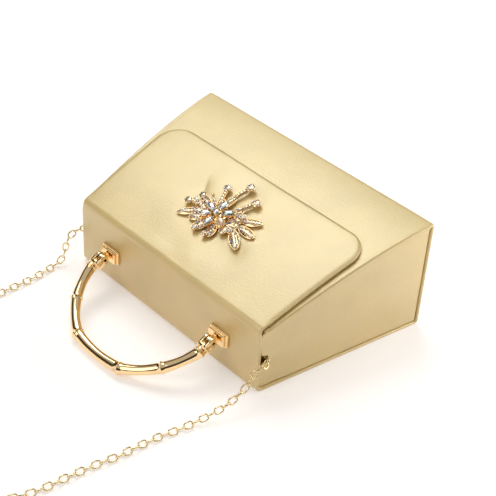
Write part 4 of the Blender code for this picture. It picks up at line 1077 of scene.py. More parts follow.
@dataclass
class SatinCover(SheetWork):
    """The satin over the boards: the body's long strip, the lid with its flap, and the two gussets."""

    # Radius of the front's corners, and the groove beside its edges: depth, distance, width
    body_corner: float = 0.0035
    seam: float = 0.00011
    seam_place: float = 0.0012
    seam_width: float = 0.00022
    # Height and reach of the padding on body and lid, and of the flap's thinning at its edge
    body_crown: tuple = (0.0002, 0.004)
    lid_crown: tuple = (0.0003, 0.005)
    thin_edge: tuple = (0.0005, 0.0008)
    # Distances from the top panel between which the puckers set in, and columns for them
    flap_rise: tuple = (0.004, 0.01)
    flap_columns: int = 150
    # The hollow round the brooch's posts, and how much wider it is down the flap
    pit: Hollow = Hollow(0.001, 0.04, 0.0013, 0.016)
    pit_squash: float = 0.9
    # The dent, the way square to it, its long and short side's reach, and the hollow opposite
    dent: Hollow = Hollow(-0.0259, 0.0529, 0.0013, 0.006)
    dent_way: tuple = (0.834, 0.552)
    dent_sides: tuple = (0.007, 0.0036)
    side_hollow: Hollow = Hollow(0.028, 0.027, 0.0011, 0.006)
    # Height, count, turn, distance from the brooch and width of the creases round it
    creases: tuple = (0.0003, 5, 0.6, 0.029, 0.007)
    # Height of the flap's slow waves, and their rates and starts across and down
    flap_sway: float = 0.00018
    flap_waves: tuple = ((62, 1.0), (55, 0.4))
    # Columns and rows of a gusset, and its distance from the boards
    gusset_points: tuple = (64, 84)
    seat: float = 0.0001
    # How deep it is drawn in at back and base and at the front, and how fast that falls off
    tuck: float = 0.0012
    front_tuck: float = 0.0009
    tuck_reach: float = 0.0004
    # Height, distance and width of the seam's roll along the front
    piping: float = 0.00035
    piping_place: float = 0.0023
    piping_width: float = 0.00028
    # Height of its slow waves, and their rates down and across
    ripple: float = 0.0003
    ripple_waves: tuple = (70, 6)
    # Depth, place and width of the hollow under the mouth
    pinch: tuple = (0.0005, 0.012, 0.006)
    # The soft fold at the mouth: height, the share where its wave starts, and its lift
    side_fold: float = 0.004
    fold_turn: float = 0.3
    fold_lift: float = 0.6

    def body(self) -> None:
        """One strip from the lid's fold along the back, round the base and up over the front to the mouth."""
        form = self.form
        board, deep, height = form.board, form.bottom_depth, form.height
        back_turn = (form.back_radius, form.back_radius)
        base_turn = (height - form.base_radius, form.base_radius)
        edge_turn = (height - form.edge_radius, deep - form.edge_radius)
        mouth = board + form.gap * 2 + form.sheet_wall + form.mouth_play
        flat = np.linspace(form.back_radius, height - form.base_radius, 46)[1:-1]
        low, high = form.base_radius, deep - form.edge_radius
        rise = np.linspace(low, high, 32)[1:-1]
        slope = np.linspace(height - form.edge_radius, mouth, 56)[1:]
        inner_rise = np.interp(rise, [low, high], [low, deep - board])
        inner_slope = np.interp(slope, [mouth, height - form.edge_radius], [mouth, height - board])
        outer = np.concatenate([
            arc(back_turn, form.back_radius, -135, -90, 8), stretch(flat, 0),
            arc(base_turn, form.base_radius, -90, 0, 12), stretch(height, rise),
            arc(edge_turn, form.edge_radius, 0, 90, 9), stretch(slope, form.front(slope))])
        inner = np.concatenate([
            arc(back_turn, form.back_radius - board, -135, -90, 8), stretch(flat, board),
            arc(base_turn, form.base_radius - board, -90, 0, 12), stretch(height - board, inner_rise),
            np.repeat([[height - board, deep - board]], 9, 0),
            stretch(inner_slope, form.front(inner_slope, -board))])
        half = form.half_width(outer[:, 0])
        half[-len(slope):] += form.front_overhang * (1 - slope / height)
        turned = travelled(outer)[-len(slope)]

        def relief(x: Array, along: Array, edge: Array) -> Array:
            """The crown, half as high on the front, with a groove like a bell curve beside its edges."""
            front = np.clip((along - turned) / 0.002, 0, 1)
            groove = -self.seam * bell(edge - self.seam_place, self.seam_width) * front
            return groove + pillow(edge, *self.body_crown) * (1 - 0.5 * front)

        board_form = Board(outer, inner, half, corner=self.body_corner, relief=relief)
        piece = self.finish("body_cover", board_form.patches())
        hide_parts("back_panel", "bottom_panel", "front_panel")
        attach(piece, "body")

    def puckers(self, x: Array, y: Array) -> Array:
        """The flap's folds round the brooch's posts: two hollows, a sharp dent with one long side, and creases.

        The hollows are bell curves of the distance from their middles. The dent falls off exponentially to both
        sides of its line and as a bell curve along it. The creases are a cosine of the angle round the brooch,
        in a ring like a bell curve, and the whole flap has slow waves, a product of two sines.

        Args:
            x: The points' places across the purse.
            y: Their distances from the top panel.

        Returns:
            The height of each point over the plain flap.
        """
        pit, dent, hollow = self.pit, self.dent, self.side_hollow
        posts = -pit.depth * bell(np.hypot(x - pit.x, (y - pit.y) * self.pit_squash), pit.width)
        across, down = self.dent_way
        over = (x - dent.x) * across + (y - dent.y) * down
        beside = (x - dent.x) * down - (y - dent.y) * across
        sharp = np.exp(-np.abs(over) / np.where(over < 0, *self.dent_sides))
        notch = -dent.depth * sharp * bell(beside, dent.width)
        right = -hollow.depth * bell(np.hypot(x - hollow.x, y - hollow.y), hollow.width)
        height, count, turn, distance, width = self.creases
        angle = np.arctan2(y - pit.y, x - pit.x)
        fan = height * np.cos(angle * count + turn) * bell(np.hypot(y - pit.y, x - pit.x) - distance, width)
        (rate_x, start_x), (rate_y, start_y) = self.flap_waves
        sway = self.flap_sway * np.sin(x * rate_x + start_x) * np.sin(y * rate_y + start_y)
        return posts + notch + right + fan + sway

    def lid(self) -> None:
        """The top panel and the flap in one strip, from the back fold over the front fold to its end."""
        form = self.form
        board, flap = form.board, form.flap_board
        back_turn, centre = (form.back_radius, form.back_radius), form.fold_centre()
        last = 180 - math.degrees(form.fold_turn())
        rise = np.linspace(form.back_radius, centre[1], 20)[1:-1]
        fold = arc(centre, form.front_radius, 180, last, 16)
        down = np.linspace(fold[-1, 0], form.flap_drop, 96)[1:]
        inner_fold = np.concatenate([arc(centre, form.front_radius - wall, angle, angle, 1) for wall, angle in
                                     zip(np.linspace(board, flap, 16), np.linspace(180, last, 16))])
        outer = np.concatenate([
            arc(back_turn, form.back_radius, -135, -180, 8), stretch(0, rise), fold,
            stretch(down, form.front(down, form.flap_lift))])
        inner = np.concatenate([
            arc(back_turn, form.back_radius - board, -135, -180, 8), stretch(board, rise), inner_fold,
            stretch(down, form.front(down, form.flap_lift - flap))])
        on_lid = np.arange(len(outer)) < 8 + len(rise)
        half = np.where(on_lid, form.top_width / 2, self.flap_half_width(outer))
        place = travelled(outer)

        def relief(x: Array, along: Array, edge: Array) -> Array:
            """The padding's crown, and on the flap the puckers and an edge that thins exponentially."""
            y = np.interp(along, place, outer[:, 0])
            low, high = self.flap_rise
            thin, reach = self.thin_edge
            on_flap = np.clip((y - low) / (high - low), 0, 1)
            folds = (self.puckers(x, y) - thin * np.exp(-edge / reach)) * on_flap
            return folds + pillow(edge, *self.lid_crown)

        board_form = Board(outer, inner, half, corner=form.flap_corner, relief=relief, middle=self.flap_columns)
        piece = self.finish("lid_cover", board_form.patches())
        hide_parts("top_panel", "flap_panel")
        self.bend_at_fold(piece, fold)

    def gusset(self, side: int, word: str) -> None:
        """One side: a sheet bowed inwards, tucked in along the boards, with its mouth's edge turned over.

        The tucks fall off exponentially from the boards, and the seam's roll and the mouth's hollow are bell
        curves. The fold is a lifted sine across the gusset times the parabola 4s(1 - s) of the share s of its
        height, and it fades evenly from the mouth to the base.

        Args:
            side: 1 for the right, -1 for the left.
            word: The side's name.
        """
        form = self.form
        share, rows = (0.5 - 0.5 * np.cos(np.linspace(0, math.pi, count)) for count in self.gusset_points)
        base = form.height - form.board - self.seat
        mouth = self.mouth(share)[None]
        y = mouth + rows[:, None] * (base - mouth)
        low, high = form.board + self.seat, form.front(y, -form.board - self.seat)
        z = low + share[None] * (high - low)
        tuck = self.tuck * (np.exp(-(z - low) / self.tuck_reach) + np.exp(-(base - y) / self.tuck_reach))
        tuck += (self.front_tuck * np.exp(-(high - z) / self.tuck_reach)
                 + self.piping * bell(high - z - self.piping_place, self.piping_width))
        down_rate, across_rate = self.ripple_waves
        depth, place, width = self.pinch
        sway = (self.ripple * np.sin(y * down_rate + side) * np.sin(share[None] * across_rate)
                + depth * bell(y - place, width))
        wave = (np.sin(math.tau * (share - self.fold_turn)) + self.fold_lift) / (1 + self.fold_lift)
        sway = sway - self.side_fold * (wave * 4 * share * (1 - share))[None] * (1 - y / form.height)
        face = np.stack([side * (form.bowed_side(share[None], y) - tuck - sway), y, z], -1)
        back = face - np.array([side * form.side_wall, 0, 0])
        rim = np.zeros((2 * sum(self.gusset_points), 3))
        rim[-len(share):, 1] = -form.side_wall / 2
        piece = self.finish(f"gusset_{word}_cloth", shell(face, back, rim, np.stack([z, y], -1)))
        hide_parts(f"gusset_{word}")
        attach(piece, "body")

    def build(self) -> None:
        """Makes all the satin pieces."""
        self.body()
        self.lid()
        for side, word in SIDES:
            self.gusset(side, word)


@dataclass
class Lining(SheetWork):
    """The thin cloth inside: the pouch, the sheet inside lid and flap, and the strip over the back fold."""

    # The pouch: thickness, points of a ring's sides and front, rings, and room to the gussets
    pouch_wall: float = 0.0006
    pouch_points: tuple = (22, 40, 46)
    pouch_drop: float = 0.0006
    pouch_clear: float = 0.0009
    # Height of its shallow ripples, and how far the rings of its floor reach from the middle
    swell: float = 0.0005
    cap_shares: tuple = (0, 0.35, 0.7)
    # The lid's sheet: its start over the back, and how far inside flap and lid it ends
    sheet_start: float = 0.006
    sheet_inset: float = 0.0009
    sheet_narrow: float = 0.003
    narrow_span: tuple = (0.003, 0.008)
    # Where the flap has reached its own thickness
    thin_place: float = 0.012
    # The strip over the back fold: thickness, reach along back and lid, inset, bend
    strip_wall: float = 0.0003
    strip_reach: float = 0.0085
    strip_inset: float = 0.0075
    strip_bend: float = 0.0058
    margins: tuple = (0, 0.0005, 0.002)

    def pouch_ring(self, row: float, inset: float) -> Array:
        """One ring of the pouch: right side, front, left side and back, rippled by squared sines.

        Args:
            row: Share of the way from the mouth to the floor.
            inset: How far inside the pouch's outer face the ring lies.

        Returns:
            Its points in the purse frame.
        """
        form = self.form
        share = np.linspace(0, 1, self.pouch_points[0])
        across = np.linspace(1, -1, self.pouch_points[1] + 2)[1:-1]
        mouth = self.mouth(share) + self.pouch_drop
        y = mouth + row * (form.height - form.board - form.gap - inset - mouth)
        low, high = form.board + form.gap + inset, form.front(y, -form.board - form.gap - inset)
        x = form.bowed_side(share, y) - form.side_wall - form.gap - self.pouch_clear - inset
        swell = self.swell * math.sin(math.pi * row)
        ripple = swell * np.sin(across * 11 + row * 4) ** 2
        right = np.stack([x - swell * np.sin(share * 9 + row * 5) ** 2, y, low + share * (high - low)], 1)
        front = np.stack([across * x[-1], across * 0 + y[-1], across * 0 + high[-1] - ripple], 1)
        back = np.stack([-across * x[0], across * 0 + y[0], across * 0 + low + ripple], 1)
        return np.concatenate([right, front, right[::-1] * np.array([-1, 1, 1]), back])

    def pouch(self) -> None:
        """An open pouch: a closed ring carried from the inner floor up to the mouth and down outside."""
        rows = np.linspace(0, 1, self.pouch_points[2])
        inside = [self.pouch_ring(row, self.pouch_wall) for row in rows[::-1]]
        outside = [self.pouch_ring(row, 0) for row in rows]
        floor, base = ([end.mean(0) + (end - end.mean(0)) * share for share in self.cap_shares]
                       for end in (inside[0], outside[-1]))
        piece = self.finish("pouch_cloth", [Patch(np.array(floor + inside + outside + base[::-1]), wraps=True)])
        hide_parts("pouch_lining")
        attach(piece, "body")

    def lid_sheet(self) -> None:
        """The sheet inside the lid and the flap, bent round inside the front fold."""
        form = self.form
        wall, face = form.sheet_wall, form.board + form.gap
        centre, last = form.fold_centre(), 180 - math.degrees(form.fold_turn())
        reach = form.front_radius - form.board - form.gap
        rise = np.linspace(self.sheet_start, centre[1], 14)[:-1]
        fold = arc(centre, reach, 180, last, 12)
        down = np.linspace(fold[-1, 0], form.flap_drop - self.sheet_inset, 34)[1:]
        sink = np.interp(down, [down[0], self.thin_place], [form.board, form.flap_board])
        outer, inner = (np.concatenate([
            stretch(face + depth, rise), arc(centre, reach - depth, 180, last, 12),
            stretch(down, form.front(down, form.flap_lift - form.gap - sink - depth))]) for depth in (0, wall))
        half = self.flap_half_width(outer)
        half -= np.interp(outer[:, 0], self.narrow_span, [self.sheet_narrow, self.sheet_inset])
        board = Board(outer, inner, half, corner=form.flap_corner - self.sheet_inset, round_start=True,
                      margins=self.margins)
        piece = self.finish("lid_lining_cloth", board.patches())
        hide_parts("top_lining", "flap_lining")
        self.bend_at_fold(piece, fold)

    def hinge_strip(self) -> None:
        """The strip that covers the back fold from inside."""
        form = self.form
        middle, reach = (form.back_radius, form.back_radius), form.back_radius - form.board
        flat = np.linspace(self.strip_reach, form.back_radius, 5)[:-1]
        outer, inner = (np.concatenate([
            stretch(flat, form.board + depth), arc(middle, reach - depth, -90, -180, 12),
            stretch(form.board + depth, flat)[::-1]]) for depth in (0, self.strip_wall))
        half = np.full(len(outer), form.top_width / 2 - self.strip_inset)
        board = Board(outer, inner, half, round_start=True, margins=self.margins)
        piece = self.finish("hinge_lining", board.patches())
        tuple(form.in_row([0, self.strip_bend, form.board]))
        tuple(form.in_row([0, form.board, self.strip_bend]))
        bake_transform(piece)

    def build(self) -> None:
        """Makes all the lining pieces."""
        self.pouch()
        self.lid_sheet()
        self.hinge_strip()


@dataclass
class Handle:
    """The handle: waisted bamboo segments between sharp rings, with a slotted fork at each end."""

    form: BoxForm
    metal: Material
    # The pivots: distance from each other, height over the table, distance from the top panel
    span: float = 0.1018
    depth: float = 0.02365
    standoff: float = 0.0087
    # How far the bar lies from the pivots, and degrees that it hangs below level
    reach: float = 0.0477
    droop: float = 24.665
    # A segment: radius, share by which its middle is thinner, share of its length that it bows
    bar: float = 0.00338
    waist: float = 0.1
    bow: float = 0.05
    # A ring: radius, width, and the power by which it rises from its edges
    ring: float = 0.0041
    ring_width: float = 0.002
    ring_power: float = 0.8
    # Places: the rings' as shares of half the span and of the reach, a ring's points' of half its width
    ring_shares: tuple = ((1.008, 0.189), (0.805, 0.623), (0.395, 0.957))
    ring_points: tuple = (-0.75, -0.55, -0.36, -0.16, -0.04, 0.04, 0.16, 0.36, 0.55, 0.75)
    segment_points: int = 16
    # A fork: its tip's radius, length, width over both prongs, width between them, rounding
    fork_radius: float = 0.0034
    fork_length: float = 0.0068
    fork_width: float = 0.007
    slot: float = 0.0026
    fork_rounding: float = 0.0006

    def stations(self) -> tuple:
        """The bar's path and radii.

        A segment bows outwards by a parabola and narrows by a squared sine. A ring rises from its edges by a
        power of the distance from them.

        Returns:
            The points in the handle's own plane, the radii.
        """
        right = [(x * self.span / 2, -reach * self.reach) for x, reach in self.ring_shares]
        right.insert(0, (self.span / 2, -self.fork_length + self.fork_radius))
        places = np.array(right + [(-x, y) for x, y in reversed(right)])
        ways = unit(np.diff(places, axis=0))
        ridge = np.array(self.ring_points)
        points, radii = [], []
        for index, (low, high) in enumerate(zip(places, places[1:])):
            first, last = index == 0, index == len(places) - 2
            length = np.linalg.norm(high - low)
            outward = np.array([-ways[index, 1], ways[index, 0]])
            outward *= -1 if outward @ (low + high) < 0 else 1
            shoulder = self.ring_width / 2 / length
            share = np.linspace(0 if first else shoulder, 1 if last else 1 - shoulder, self.segment_points)
            bend = self.bow * length * 4 * share * (1 - share)
            points.append(low + share[:, None] * (high - low) + bend[:, None] * outward)
            radii.append(self.bar * (1 - self.waist * np.sin(math.pi * share) ** 2))
            if not last:
                heading = unit(ways[index] + ways[index + 1])
                points.append(high + ridge[:, None] * heading * self.ring_width / 2)
                radii.append(self.bar + (self.ring - self.bar) * (1 - np.abs(ridge)) ** self.ring_power)
        return np.concatenate(points), np.concatenate(radii)

    def hang(self, points: Array) -> Array:
        """Points of the handle's plane in the row frame, turned down by the droop about the pivots' line."""
        turn = math.radians(self.droop)
        x, y, z = np.moveaxis(points, -1, 0)
        return self.form.in_row(np.stack([x, y * math.cos(turn) - z * math.sin(turn) - self.standoff,
                                          y * math.sin(turn) + z * math.cos(turn) + self.depth], -1))

    def fork(self, side: int) -> list:
        """A fork: two prongs with round tips and the block that they grow from.

        Args:
            side: 1 for the right, -1 for the left.

        Returns:
            Three patches in the handle's own plane.
        """
        turn = np.linspace(0, math.pi, 17)
        tip = self.fork_radius * np.stack([np.sin(turn), np.cos(turn)], 1)
        back = np.linspace(-self.fork_radius, self.fork_radius, 9)
        heel = stretch(-self.fork_length, back)
        prong = np.concatenate([tip, heel])
        root = np.concatenate([stretch(-self.fork_radius * 0.98, back[::-1]), heel]) * 0.96
        half, slot, middle = self.fork_width / 2, self.slot / 2, side * self.span / 2
        within = half - self.bar * 0.1
        blocks = ((prong, -half, -slot), (prong, slot, half), (root, -within, within))
        return [rounded_prism(*block, self.fork_rounding).through(
            lambda points: np.stack([middle + points[..., 2], points[..., 0], points[..., 1]], -1))
            for block in blocks]

    def build(self) -> None:
        """Makes the handle in one piece."""
        path, radii = self.stations()
        bar = swept(np.concatenate([path, path[:, :1] * 0], 1), radii, 32)
        patches = [bar] + [patch for side, _ in SIDES for patch in self.fork(side)]
        piece = make_piece("handle_bar", patches, self.metal, self.hang)
        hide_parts("handle")
        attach(piece, "handle")


def almond(root: tuple, tip: tuple, width: float, point: float, count: int = 30) -> Array:
    """A leaf's outline between two points: a cosine along it, and across it a sine raised to a power.

    Args:
        root: Its one end in a plane.
        tip: Its other end.
        width: Its greatest width.
        point: The power, 1 for an ellipse and more for sharper ends.
        count: How many points.

    Returns:
        An array of count points in two axes.
    """
    start, stop = np.array(root, float), np.array(tip, float)
    half = (stop - start) / 2
    across = np.array([-half[1], half[0]]) / np.linalg.norm(half)
    turn = np.arange(count) * math.tau / count
    wide = width / 2 * np.sign(np.sin(turn)) * np.abs(np.sin(turn)) ** point
    return (start + stop) / 2 + np.cos(turn)[:, None] * half + wide[:, None] * across


def stacked(outline: Array, rings: Sequence[tuple]) -> Patch:
    """A closed form from rings: the outline drawn towards its middle by a share, each at its own height.

    Args:
        outline: Points in a plane.
        rings: For each ring its share and its height; the first and last have share 0.

    Returns:
        One wrapped patch.
    """
    middle = outline.mean(0)
    shares, heights = np.array(rings, float).T
    return raised(middle + (outline - middle)[None] * shares[:, None, None], heights)


def turned_forms(centres: Array, sizes: Array, profile: Sequence[tuple], sides: int,
                 lean: float = 0.0) -> list:
    """Many small round forms: one profile turned about each centre's axis, which leans a little its own way.

    Args:
        centres: Their places, count by 3.
        sizes: Their radii.
        profile: Radius and height for each ring, as shares of the size, from one pole to the other.
        sides: Points round each ring.
        lean: How far an axis leans, as a slope.

    Returns:
        A patch for each.
    """
    turn = (np.arange(sides) + 0.5) * math.tau / sides
    reach, rise = np.array(profile, float).T
    flat = reach[:, None, None] * np.stack([np.cos(turn), np.sin(turn)], 1)[None]
    whole = np.concatenate([flat, np.broadcast_to(rise[:, None, None], (*flat.shape[:2], 1))], 2)
    points = sizes[:, None, None, None] * whole[None]
    way = np.arange(len(centres)) * 2.4
    tilt = lean * np.stack([np.cos(way), np.sin(way)], 1)[:, None, None]
    slant = (points[..., :2] * tilt).sum(-1)
    leaned = np.concatenate([points[..., :2] - tilt * points[..., 2:], points[..., 2:] + slant[..., None]], -1)
    return [Patch(form, wraps=True) for form in leaned + centres[:, None, None]]


@dataclass
class Brooch:
    """The flower brooch: pave leaves and petals with rims, stems with domed tips, and foiled stones in cups.

    Its plane has its origin on the flap's face, u along the purse's width and v down the front. A profile is a
    list of rings, each with its share of the outline and its height.
    """

    form: BoxForm
    finishes: dict
    # Its middle on the front, and the radius of the plate under it
    place: tuple = (0.0009, 0.0401)
    hub: float = 0.0086
    # Heights of a leaf's underside and rim and of its dome, and the radius of its rim
    leaf_low: float = 0.0007
    leaf_wall: float = 0.0012
    leaf_dome: float = 0.001
    rim: float = 0.00027
    # A pave stone's radius and lean, the distance to the next, and the radii of two sizes of claw
    pave: float = 0.00074
    pave_lean: float = 0.4
    spacing: float = 0.00172
    small_claw: float = 0.00024
    large_claw: float = 0.00036
    # Radius from which a cluster's ring has seven stones instead of five
    full_cluster: float = 0.0026
    # A large stone: length, width, distance from the middle, height of its claws
    stone_length: float = 0.0084
    stone_width: float = 0.0046
    stone_reach: float = 0.0074
    claw_height: float = 0.0055

    # Each leaf's root and tip, its width and the power of its outline
    leaves = (
        ((0.0142, 0.007), (0.026, 0.0134), 0.0058, 1.35), ((0.016, 0.0032), (0.0297, 0.002), 0.0059, 1.0),
        ((0.0138, -0.0006), (0.0279, -0.0109), 0.0065, 1.3),
        ((-0.0138, -0.0026), (-0.0243, -0.0124), 0.0053, 1.4),
        ((-0.0036, 0.007), (-0.0032, 0.0195), 0.005, 1.2), ((-0.0082, -0.002), (-0.0182, -0.004), 0.006, 1.2),
        ((-0.0025, -0.005), (-0.0064, -0.0152), 0.007, 1.0),
        ((0.0026, -0.0048), (0.0066, -0.0142), 0.006, 1.1), ((0.004, 0.0052), (0.0094, 0.013), 0.0058, 1.2),
        ((-0.0042, 0.0052), (-0.0096, 0.0132), 0.0056, 1.2),
        ((0.0068, -0.0006), (0.016, 0.0014), 0.0053, 1.2), ((-0.01, 0.003), (-0.0196, 0.007), 0.0053, 1.2),
        ((-0.007, -0.003), (-0.015, -0.0104), 0.0065, 1.1), ((-0.01, 0.0004), (-0.0214, 0.0016), 0.0056, 1.2),
        ((0.0064, 0.0022), (0.0148, 0.0062), 0.0051, 1.2),
    )
    # Each twig's start and end, and its radius
    twigs = (
        ((-0.0068, 0.008), (-0.0126, 0.0203), 0.0013), ((-0.0032, 0.0185), (-0.0011, 0.0293), 0.0013),
        ((0.0052, 0.009), (0.0112, 0.0223), 0.0013), ((0.01, 0.004), (0.015, 0.0076), 0.0008),
        ((0.009, 0.0012), (0.0172, 0.003), 0.0008), ((0.008, -0.001), (0.015, -0.002), 0.0008),
        ((-0.012, 0.002), (-0.0241, -0.0008), 0.0008), ((-0.008, 0.006), (-0.0155, 0.0106), 0.0007),
    )
    # Each domed cluster's middle and radius
    clusters = (
        (-0.0126, 0.0203, 0.0027), (-0.0011, 0.0293, 0.0029), (0.0112, 0.0223, 0.0029),
        (-0.0208, 0.0068, 0.0024), (-0.025, -0.0014, 0.0025), (-0.0216, 0.0016, 0.0021),
        (0.0111, -0.0054, 0.0027), (0.0108, 0.0076, 0.0019), (0.0134, 0.0099, 0.0016),
        (0.0037, -0.0142, 0.0019), (-0.0049, -0.0143, 0.0019), (0.0145, -0.0036, 0.0015),
    )
    # Each plain ball's middle and radius, and the height of their middles
    balls = ((-0.0155, 0.0106, 0.0013), (0.0076, 0.0147, 0.001), (-0.018, -0.001, 0.001))
    ball_height = 0.0026
    # The large stones round the middle, by their angle in degrees from u towards v
    stone_turns = ((162, Finish.CRYSTAL), (213, Finish.CRYSTAL), (272, Finish.CRYSTAL), (337, Finish.AMBER),
                   (38, Finish.GREY_GREEN), (98, Finish.GREY_GREEN))

    # Profiles of the settings and the large stones
    hub_profile = ((0, 0.0003), (0.97, 0.0003), (1, 0.0006), (0.97, 0.001), (0, 0.0012))
    cluster_profile = ((0, 0.0005), (0.7, 0.0005), (0.95, 0.0014), (1, 0.0024), (0.92, 0.0027), (0.5, 0.0031),
                       (0, 0.0033))
    cup_profile = ((0, 0.0011), (0.5, 0.0011), (0.78, 0.0026), (0.98, 0.0044), (1.05, 0.0051), (0.97, 0.0052),
                   (0.9, 0.0046), (0, 0.0045))
    stone_profile = ((0, 0.0044), (0.5, 0.0044), (1, 0.005282), (0.97, 0.005492), (0.76, 0.006164),
                     (0.5, 0.0065), (0, 0.0065))
    centre_cup_profile = ((0, 0.0011), (0.6, 0.0011), (0.9, 0.005), (1.08, 0.0058), (0.9, 0.0058), (0, 0.0055))
    centre_stone_profile = ((0, 0.0056), (0.55, 0.0056), (1, 0.0064), (0.95, 0.0067), (0.6, 0.0075),
                            (0, 0.0075))

    # Profiles of small stones and claws, as shares of their size
    brilliant = ((0, 0), (0.55, 0.0), (1, 0.42), (0.94, 0.52), (0.58, 0.86), (0, 0.86))
    bead = ((0, -0.9), (0.9, -0.4), (0.9, 0.3), (0, 0.9))

    def on_flap(self, points: Array) -> Array:
        """Points of the brooch's plane in the row frame: turned by the front's slope and moved to its place."""
        across, down = self.place
        lean = math.atan(float(self.form.slope(down)))
        u, v, w = np.moveaxis(points, -1, 0)
        rise = float(self.form.front(down, self.form.flap_lift))
        return self.form.in_row(np.stack([across + u, down + v * math.cos(lean) - w * math.sin(lean),
                                          rise + v * math.sin(lean) + w * math.cos(lean)], -1))

    def wire(self, outline: Array, height: float) -> Patch:
        """A round wire along an outline."""
        path = np.concatenate([outline, np.full((len(outline), 1), height)], 1)
        return swept(path, np.full(len(path), self.rim), 6, closed=True)

    def leaf(self, root: tuple, tip: tuple, width: float, point: float) -> tuple:
        """A domed leaf with a rim, and the places of its pave stones and of the claws between them.

        Its dome is a parabola. The stones stand in offset rows, wherever they lie inside the outline.

        Args:
            root: Its end near the middle.
            tip: Its outer end.
            width: Its width.
            point: The power of its outline.

        Returns:
            Its patches, its stones' places, its claws' places.
        """
        outline = almond(root, tip, width, point)
        crown = [(share, self.leaf_wall + self.leaf_dome * (1 - share ** 2))
                 for share in (0.94, 0.75, 0.5, 0.25, 0)]
        foot = [(0, self.leaf_low), (0.9, self.leaf_low), (1, self.leaf_low + 0.0002), (1, self.leaf_wall)]
        start, stop = np.array(root), np.array(tip)
        length = float(np.linalg.norm(stop - start))
        ahead = (stop - start) / length
        across = np.array([-ahead[1], ahead[0]])
        row = np.arange(-2, 2)[:, None]
        along = (np.arange(-6, 7)[None] + 0.5 * (row % 2)) * self.spacing
        beside = np.broadcast_to((row + 0.5) * self.spacing * 0.92, along.shape)

        def inside(x: Array, y: Array, room: float) -> Array:
            """The places that keep clear of the outline, with the dome's height there."""
            half = width / 2 * np.clip(1 - (2 * x / length) ** 2, 0, 1) ** (point / 2)
            keep = np.abs(y) + room < half
            x, y = x[keep], y[keep]
            share = np.clip((2 * x / length) ** 2 + (2 * y / width) ** 2, 0, 1)
            flat = (start + stop) / 2 + x[:, None] * ahead + y[:, None] * across
            return np.concatenate([flat, (self.leaf_wall + self.leaf_dome * (1 - share))[:, None]], 1)

        stones = inside(along, beside, self.pave * 0.8)
        claws = inside(along + self.spacing / 2, beside + self.spacing * 0.29, self.rim)
        return [stacked(outline, foot + crown), self.wire(outline, self.leaf_wall + 0.0001)], stones, claws

    def twig(self, start: tuple, end: tuple, radius: float) -> tuple:
        """A bar from point to point, raised by a low sine, that carries a row of pave stones.

        Args:
            start: Its one end.
            end: Its other end.
            radius: Its radius.

        Returns:
            Its patch in a list, its stones' places, no claws' places.
        """
        share = np.linspace(0, 1, 6)[:, None]
        flat = np.array(start) * (1 - share) + np.array(end) * share
        path = np.concatenate([flat, 0.0016 + 0.0002 * np.sin(share * math.pi)], 1)
        count = max(int(np.linalg.norm(flat[-1] - flat[0]) / self.spacing) - 1, 1)
        marks = (np.arange(count) + 0.5)[:, None] / count
        stones = path[0] * (1 - marks) + path[-1] * marks + np.array([0, 0, radius * 0.95])
        return [swept(path, np.full(6, radius), 8)], stones, np.empty((0, 3))

    def cluster(self, u: float, v: float, radius: float) -> tuple:
        """A domed cup with one stone in its middle and a ring of stones round it.

        Args:
            u: Its middle's place across.
            v: Its middle's place down the front.
            radius: Its radius.

        Returns:
            Its patches, its stones' places, no claws' places.
        """
        outline = almond((u - radius, v), (u + radius, v), radius * 2, 1, 18)
        count = 7 if radius > self.full_cluster else 5
        turn = np.arange(count) * math.tau / count + u * 900
        reach = radius - self.pave * 0.98
        ring = np.stack([u + reach * np.cos(turn), v + reach * np.sin(turn), np.full(count, 0.0027)], 1)
        patches = [stacked(outline, self.cluster_profile), self.wire(outline, 0.0024)]
        return patches, np.concatenate([ring, [[u, v, 0.0032]]]), np.empty((0, 3))

    def pave_work(self) -> tuple:
        """All the leaves, twigs and clusters, the plate under them and the balls.

        Returns:
            The metal's patches, the stones' places, the claws' places.
        """
        tables = ((self.leaf, self.leaves), (self.twig, self.twigs), (self.cluster, self.clusters))
        patches, stones, claws = zip(*(make(*row) for make, rows in tables for row in rows))
        plate = stacked(almond((-self.hub, 0), (self.hub, 0), self.hub * 2, 1, 36), self.hub_profile)
        balls = np.array(self.balls)
        places = np.concatenate([balls[:, :2], np.full((len(balls), 1), self.ball_height)], 1)
        globe = [(math.sin(turn), -math.cos(turn)) for turn in np.linspace(0, math.pi, 7)]
        metal = sum(patches, []) + [plate] + turned_forms(places, balls[:, 2], globe, 12)
        return metal, np.concatenate(stones), np.concatenate(claws)

    def big_stone(self, angle: float) -> tuple:
        """A marquise stone in its cup, at an angle round the brooch's middle.

        Args:
            angle: Degrees from u towards v.

        Returns:
            The stone's patch, the cup's patch, the places of its claws.
        """
        turn = math.radians(angle)
        way = np.array([math.cos(turn), math.sin(turn)])
        ends = [way * (self.stone_reach + end * self.stone_length / 2) for end in (-1, 1)]
        stone = stacked(almond(*ends, self.stone_width, 1.25, 16), self.stone_profile)
        outer = almond(*ends, self.stone_width, 1.25, 32)
        middle = outer.mean(0)
        claws = middle + (outer[2::4] - middle) * 0.99
        return stone, stacked(outer, self.cup_profile), np.concatenate(
            [claws, np.full((len(claws), 1), self.claw_height)], 1)

    def dress(self, name: str, patches: list, finish: Finish, smooth: bool = False,
              glass: Optional[CutGlass] = None) -> Object:
        """Makes one piece of the brooch on the flap.

        Args:
            name: The piece's name.
            patches: Its patches in the brooch's plane.
            finish: Its finish.
            smooth: Whether its faces are shaded smooth.
            glass: Another look than its finish's own.

        Returns:
            The piece.
        """
        material = glass.build() if glass else self.finishes[finish]
        piece = make_piece(name, patches, material, self.on_flap, smooth)
        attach(piece, "flap")
        return piece

